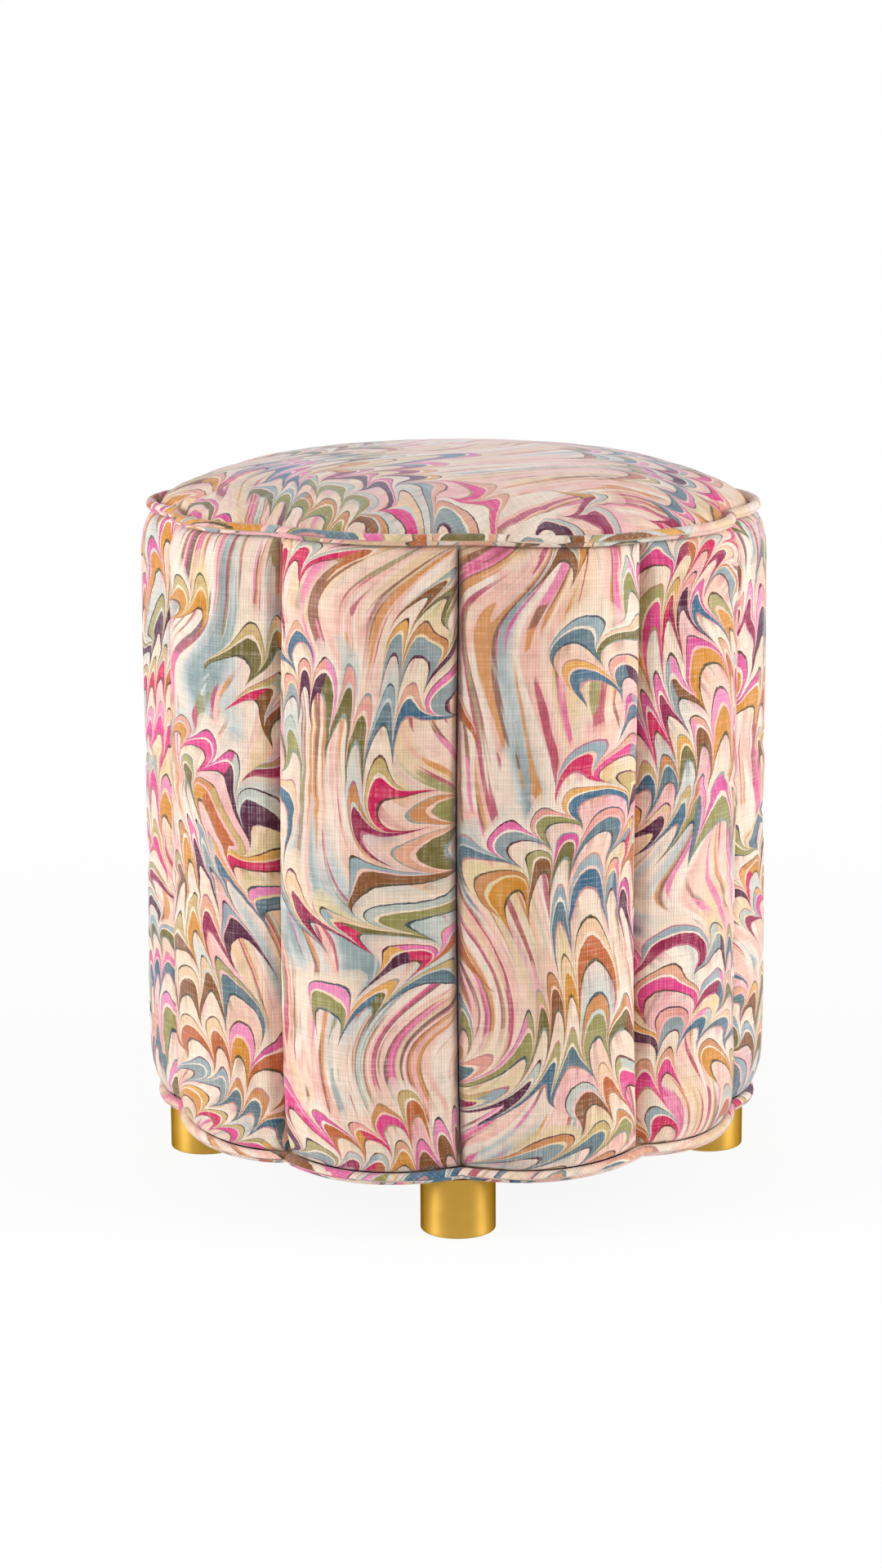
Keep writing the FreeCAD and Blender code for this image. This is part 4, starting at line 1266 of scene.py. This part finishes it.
@dataclass
class DustCover:
    """Thin black cloth under the base, turned in at its edge and stapled all round.

    Attributes:
        margin: How far its edge lies inside the base's outline.
        leg_circle: Reach within which it sags.
        sag: How far its middle hangs.
        ripple: How far it rises between two staples.
        thickness: Thickness of the cloth.
        hem: Width that is turned in.
        doubled: How many times as thick the hem is.
        staples: Number of staples.
        staple_inset: How far they lie inside the edge.
        staple_sink: How far they press into the cloth.
        steps: Steps of the cloth's grid from side to side.
    """

    margin: float = 5 * MM
    leg_circle: float = 142 * MM
    sag: float = 1.4 * MM
    ripple: float = 0.35 * MM
    thickness: float = 0.4 * MM
    hem: float = 12 * MM
    doubled: float = 1.8
    staples: int = 60
    staple_inset: float = 7 * MM
    staple_sink: float = 0.1 * MM
    steps: int = 120

    def lie(self, x: Array, y: Array) -> Array:
        """Height of the underside: it sags within the legs, and ripples from staple to staple.

        The sag is sag (1 - (r / circle)^2)^2, and the ripples fade as exp(-d / 14 mm) from the edge.
        """
        reach, angle = np.hypot(x, y), np.arctan2(y, x)
        hang = self.sag * np.clip(1 - (reach / self.leg_circle) ** 2, 0, 1) ** 2
        fade = np.exp(-np.abs(self.edge(angle) - reach) / (14 * MM))
        ripple = self.ripple * (0.5 + 0.5 * np.cos(angle * self.staples)) * fade
        return DECK - hang + ripple

    def edge(self, angle: Array) -> Array:
        """Reach of the cloth's edge."""
        crest, dent = scallop_inset(*BASE_RIM, self.margin)
        return scallop_reach(np.array(crest), np.array(dent), angle)

    def build(self, cloth: Material, steel: Material) -> None:
        """Makes the cloth and its staples, and puts them in place of the solid.

        Args:
            cloth: The cloth's material.
            steel: The staples' material.
        """
        share, angle = disc(self.steps)
        reach = share * self.edge(angle)
        x, y = reach * np.cos(angle), reach * np.sin(angle)
        under = np.stack([x, y, self.lie(x, y)], axis=2)
        over = under.copy()
        turned = self.edge(angle) - reach < self.hem
        over[:, :, 2] += self.thickness * np.where(turned, self.doubled, 1.0)
        flat = np.stack([x / MM, y / MM, np.zeros_like(x)], axis=2)
        piece = pillow("stretched_dust_cover", over, under, flat, cloth)
        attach(piece, BODY)
        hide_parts("dust_cover")
        log.info("%s: %d faces", piece.name, len(piece.data.polygons))
        self.staple(steel)

    def staple(self, steel: Material) -> None:
        """Staple crowns: bars 10 mm long and 1.2 mm wide, along the edge and a little askew.

        Each is four rings of eight points, small at the tips, with three faces over each end.
        """
        draw = np.random.default_rng(11)
        middle = 2 * math.pi * (np.arange(self.staples) + 0.5) / self.staples
        askew = middle + math.pi / 2 + draw.uniform(-0.15, 0.15, self.staples)
        reach = self.edge(middle) - self.staple_inset + draw.uniform(-0.8, 0.8, self.staples) * MM
        rings, sides = 4, 8
        along = np.array([-5.0, -4.4, 4.4, 5.0]) * MM
        tip = np.array([0.5, 1.0, 1.0, 0.5])
        turn = np.linspace(0, 2 * math.pi, sides, endpoint=False)
        width, height = 0.6 * MM * np.cos(turn), 0.35 * MM * np.sin(turn)
        local_x = np.broadcast_to(along[:, None], (rings, sides))
        local_y, local_z = tip[:, None] * width[None, :], tip[:, None] * height[None, :]
        cos, sin = np.cos(askew)[:, None, None], np.sin(askew)[:, None, None]
        x = reach[:, None, None] * np.cos(middle)[:, None, None] + local_x * cos - local_y * sin
        y = reach[:, None, None] * np.sin(middle)[:, None, None] + local_x * sin + local_y * cos
        z = self.lie(x, y) + local_z - self.staple_sink
        points = np.stack([x, y, z], axis=3).reshape(-1, 3)
        first = np.array([[3, 2, 1, 0], [7, 4, 3, 0], [7, 6, 5, 4]])
        last = first[:, ::-1] + (rings - 1) * sides
        one = np.concatenate([grid_quads(rings, sides, ring=True), first, last])
        faces = (one[None] + rings * sides * np.arange(self.staples)[:, None, None]).reshape(-1, 4)
        piece = mesh_object("cover_staples", points, faces, steel)
        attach(piece, BODY)
        log.info("%s: %d faces", piece.name, len(piece.data.polygons))


@dataclass
class Legs:
    """Four turned brass cups, straight, with a rounded foot.

    Attributes:
        circle: Distance of a leg's axis from the body's.
        radius: Outer radius of a leg.
        wall: Thickness of its wall.
        foot: Height of its foot over the floor.
        top: Height of its head.
        head: Thickness of its head.
        bore: Radius of the hole in its head.
        round_off: Rounding of the foot's outer edge.
        small: Rounding of the head's edge, and width of the bevel inside the foot.
        around: Points round it.
        sides: Name of each leg, and its angle from +X in degrees.
    """

    circle: float = 165 * MM
    radius: float = 23 * MM
    wall: float = 2.5 * MM
    foot: float = 0.6 * MM
    top: float = 38 * MM
    head: float = 6 * MM
    bore: float = 4.1 * MM
    round_off: float = 1.1 * MM
    small: float = 0.4 * MM
    around: int = 128
    sides: tuple = (("front", -90), ("right", 0), ("back", 90), ("left", 180))

    def outline(self) -> tuple[Array, Array]:
        """Radii and heights of the section, from the bore at the head round the foot and back.

        The rounded edges are quarter circles. Two rows near the ends keep the wall's shading flat.
        """
        turn = np.linspace(0, math.pi / 2, 7)
        r, h, small = self.round_off, self.foot, self.small
        inner = self.radius - self.wall
        radii = np.concatenate([
            [self.bore, self.radius - small], self.radius - small + small * np.sin(turn[1:]),
            [self.radius] * 2, self.radius - r + r * np.cos(turn), [inner + small, inner, inner, self.bore],
        ])
        heights = np.concatenate([
            [self.top, self.top], self.top - small + small * np.cos(turn[1:]),
            [self.top - 3 * MM, h + 4 * MM], h + r - r * np.sin(turn),
            [h, h + small, self.top - self.head, self.top - self.head],
        ])
        return radii, heights

    def build(self, material: Material) -> None:
        """Turns the section about each leg's axis and closes it at the bore."""
        radii, heights = self.outline()
        turn = np.linspace(0, 2 * math.pi, self.around, endpoint=False)
        faces = grid_quads(len(radii), self.around, ring=True, loop=True)[:, ::-1]
        for side, angle in self.sides:
            x = self.circle * math.cos(math.radians(angle)) + radii[:, None] * np.cos(turn)[None, :]
            y = self.circle * math.sin(math.radians(angle)) + radii[:, None] * np.sin(turn)[None, :]
            points = np.stack([x, y, np.broadcast_to(heights[:, None], x.shape)], axis=2)
            piece = mesh_object(f"brass_leg_{side}", points, faces, material)
            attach(piece, BODY)
            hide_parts(f"leg_{side}")
            log.info("%s: %d faces", piece.name, len(piece.data.polygons))


# What stays of the frame, and the studio


PLAIN = {
    "plywood": PlainFinish("birch_plywood", "#C9A878", "#A98656", 0.6, Grain.SHEET),
    "timber": PlainFinish("planed_pine", "#D3B07A", "#B58D55", 0.6, Grain.UPRIGHT),
    "hardboard": PlainFinish("tempered_hardboard", "#6F4E30", "#573A22", 0.55),
    "zinc_steel": PlainFinish("zinc_plated_steel", "#B5B8BA", "#94989B", 0.35, metallic=1.0),
    "glide_plastic": PlainFinish("dark_nylon", "#2C2722", "#221E1A", 0.5),
    "dust_cloth": PlainFinish("spunbonded_dust_cloth", "#17171A", "#0C0C0E", 0.95),
}


def dress_frame() -> dict[str, Material]:
    """Gives each of the frame's own pieces its material by its slot in the record.

    Returns:
        The materials, by slot.
    """
    finishes = {slot: finish.make() for slot, finish in PLAIN.items()}
    for row in frame["record"]["subparts"]:
        if row["material_slot"] in finishes:
            mesh = frame["nodes"][row["node"]].data
            mesh.materials.clear()
            mesh.materials.append(finishes[row["material_slot"]])
            log.info("%s: %s", row["node"], row["material_slot"])
    return finishes


@dataclass
class Studio:
    """A white floor, soft light from both sides and above, and the photograph's camera.

    Attributes:
        camera_place: Where the camera stands.
        camera_pitch: How far it is tipped up from looking straight down, in degrees.
        camera_roll: How far it is turned about its own axis, in degrees.
        lens: Focal length, in millimetres.
        film: Width of the film, in millimetres.
        lamps: Each lamp's name, place, width and power.
        aim: The point that the lamps face.
        sky: Strength of the even light from all round.
        paint: Colour of the floor under the lamps.
        corner: Half of the floor's width.
        glow: Distances between which the floor's glow rises, and its shares there.
    """

    camera_place: tuple = (-0.0089, -2.0997, 0.6857)
    camera_pitch: float = 78.08
    camera_roll: float = -0.34
    lens: float = 76.39
    film: float = 36.0
    lamps: tuple = (("left", (-2.3, -0.68, 1.0), 1.5, 46.0), ("right", (2.3, -0.68, 1.0), 1.5, 46.0),
                    ("top", (0.0, -0.4, 2.4), 1.2, 4.5))
    aim: tuple = (0, 0, 0.25)
    sky: float = 0.35
    paint: str = "#F4F4F4"
    corner: float = 30.0
    glow: tuple = (0.35, 1.5, 0.92, 1.0)

    def floor(self) -> None:
        """A white floor that the camera sees as white, apart from the object's shadow."""
        material, tree, surface, add = new_material(
            "white_sweep", {"Base Color": linear(self.paint), "Roughness": 0.9})
        # The glow is weaker near the object, where it would wash out the shadow
        away = add("VectorMath", add("TexCoord").outputs["Object"], operation="LENGTH").outputs["Value"]
        near = add("MapRange", away, *self.glow, interpolation_type="SMOOTHSTEP")
        share = add("Math", seen_rays(add), near, operation="MULTIPLY")
        mix = add("MixShader", share, surface, add("Emission", linear("#FFFFFF"), 1.0))
        output = next(node for node in tree.nodes if node.bl_idname == "ShaderNodeOutputMaterial")
        tree.links.new(mix.outputs[0], output.inputs[0])
        edge = self.corner
        points = np.array([[-edge, -edge, 0], [edge, -edge, 0], [edge, edge, 0], [-edge, edge, 0]])
        ground = mesh_object("floor", points, np.array([[0, 1, 2, 3]]), material)

    def light(self) -> None:
        """Three soft lamps and an even sky, white to the camera."""
        for name, place, size, power in self.lamps:
            lamp = bpy.data.lights.new(name, "AREA")
            lamp.shape = "DISK"
            lamp.size = size
            lamp.energy = power
            made = bpy.data.objects.new(name, lamp)
            made.location = place
            aim = np.array(self.aim) - np.array(place)
            made.rotation_euler = (math.atan2(math.hypot(aim[0], aim[1]), -aim[2]), 0,
                                   math.atan2(aim[1], aim[0]) - math.pi / 2)
            bpy.context.scene.collection.objects.link(made)
        world = bpy.data.worlds.new("studio")
        bpy.context.scene.world = world
        world.use_nodes = True
        world.node_tree.nodes.clear()
        add = partial(add_node, world.node_tree)
        strength = add("MapRange", seen_rays(add), 0.0, 1.0, self.sky, 1.0)
        add("OutputWorld", add("Background", linear("#FFFFFF"), strength))

    def camera(self) -> None:
        """The photograph's view."""
        data = bpy.data.cameras.new("photo_view")
        data.lens = self.lens
        data.sensor_width = self.film
        made = bpy.data.objects.new("photo_view", data)
        made.location = self.camera_place
        # Turned about its own axis first, then tipped
        made.rotation_mode = "ZXY"
        made.rotation_euler = (math.radians(self.camera_pitch), 0, math.radians(self.camera_roll))
        bpy.context.scene.collection.objects.link(made)
        bpy.context.scene.camera = made

    def build(self) -> None:
        """Sets up the floor, the light and the camera."""
        self.floor()
        self.light()
        self.camera()
        bpy.context.scene.view_settings.view_transform = "Standard"


def main() -> None:
    """Builds the ottoman piece by piece, then the studio."""
    logging.basicConfig(level=logging.INFO, format="%(message)s")
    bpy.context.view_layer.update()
    cover = MarbledLinen().make()
    plain = dress_frame()
    Flutes().build(Linen(), cover)
    Crown().build(Linen(tension=20.0, fullness=-0.0035), cover)
    Piping("rim_welt", "top_piping", *RIM, 424.5 * MM, at_rim=True, start=610.0).build(cover)
    Piping("base_welt", "base_piping", *BASE_RIM, 41.8 * MM, at_rim=False, cleft=1.0 * MM,
           sag=BASE_SAG, start=250.0).build(cover)
    DustCover().build(plain["dust_cloth"], plain["zinc_steel"])
    Legs().build(BrushedBrass().make())
    Studio().build()


if __name__ == "__main__":
    main()
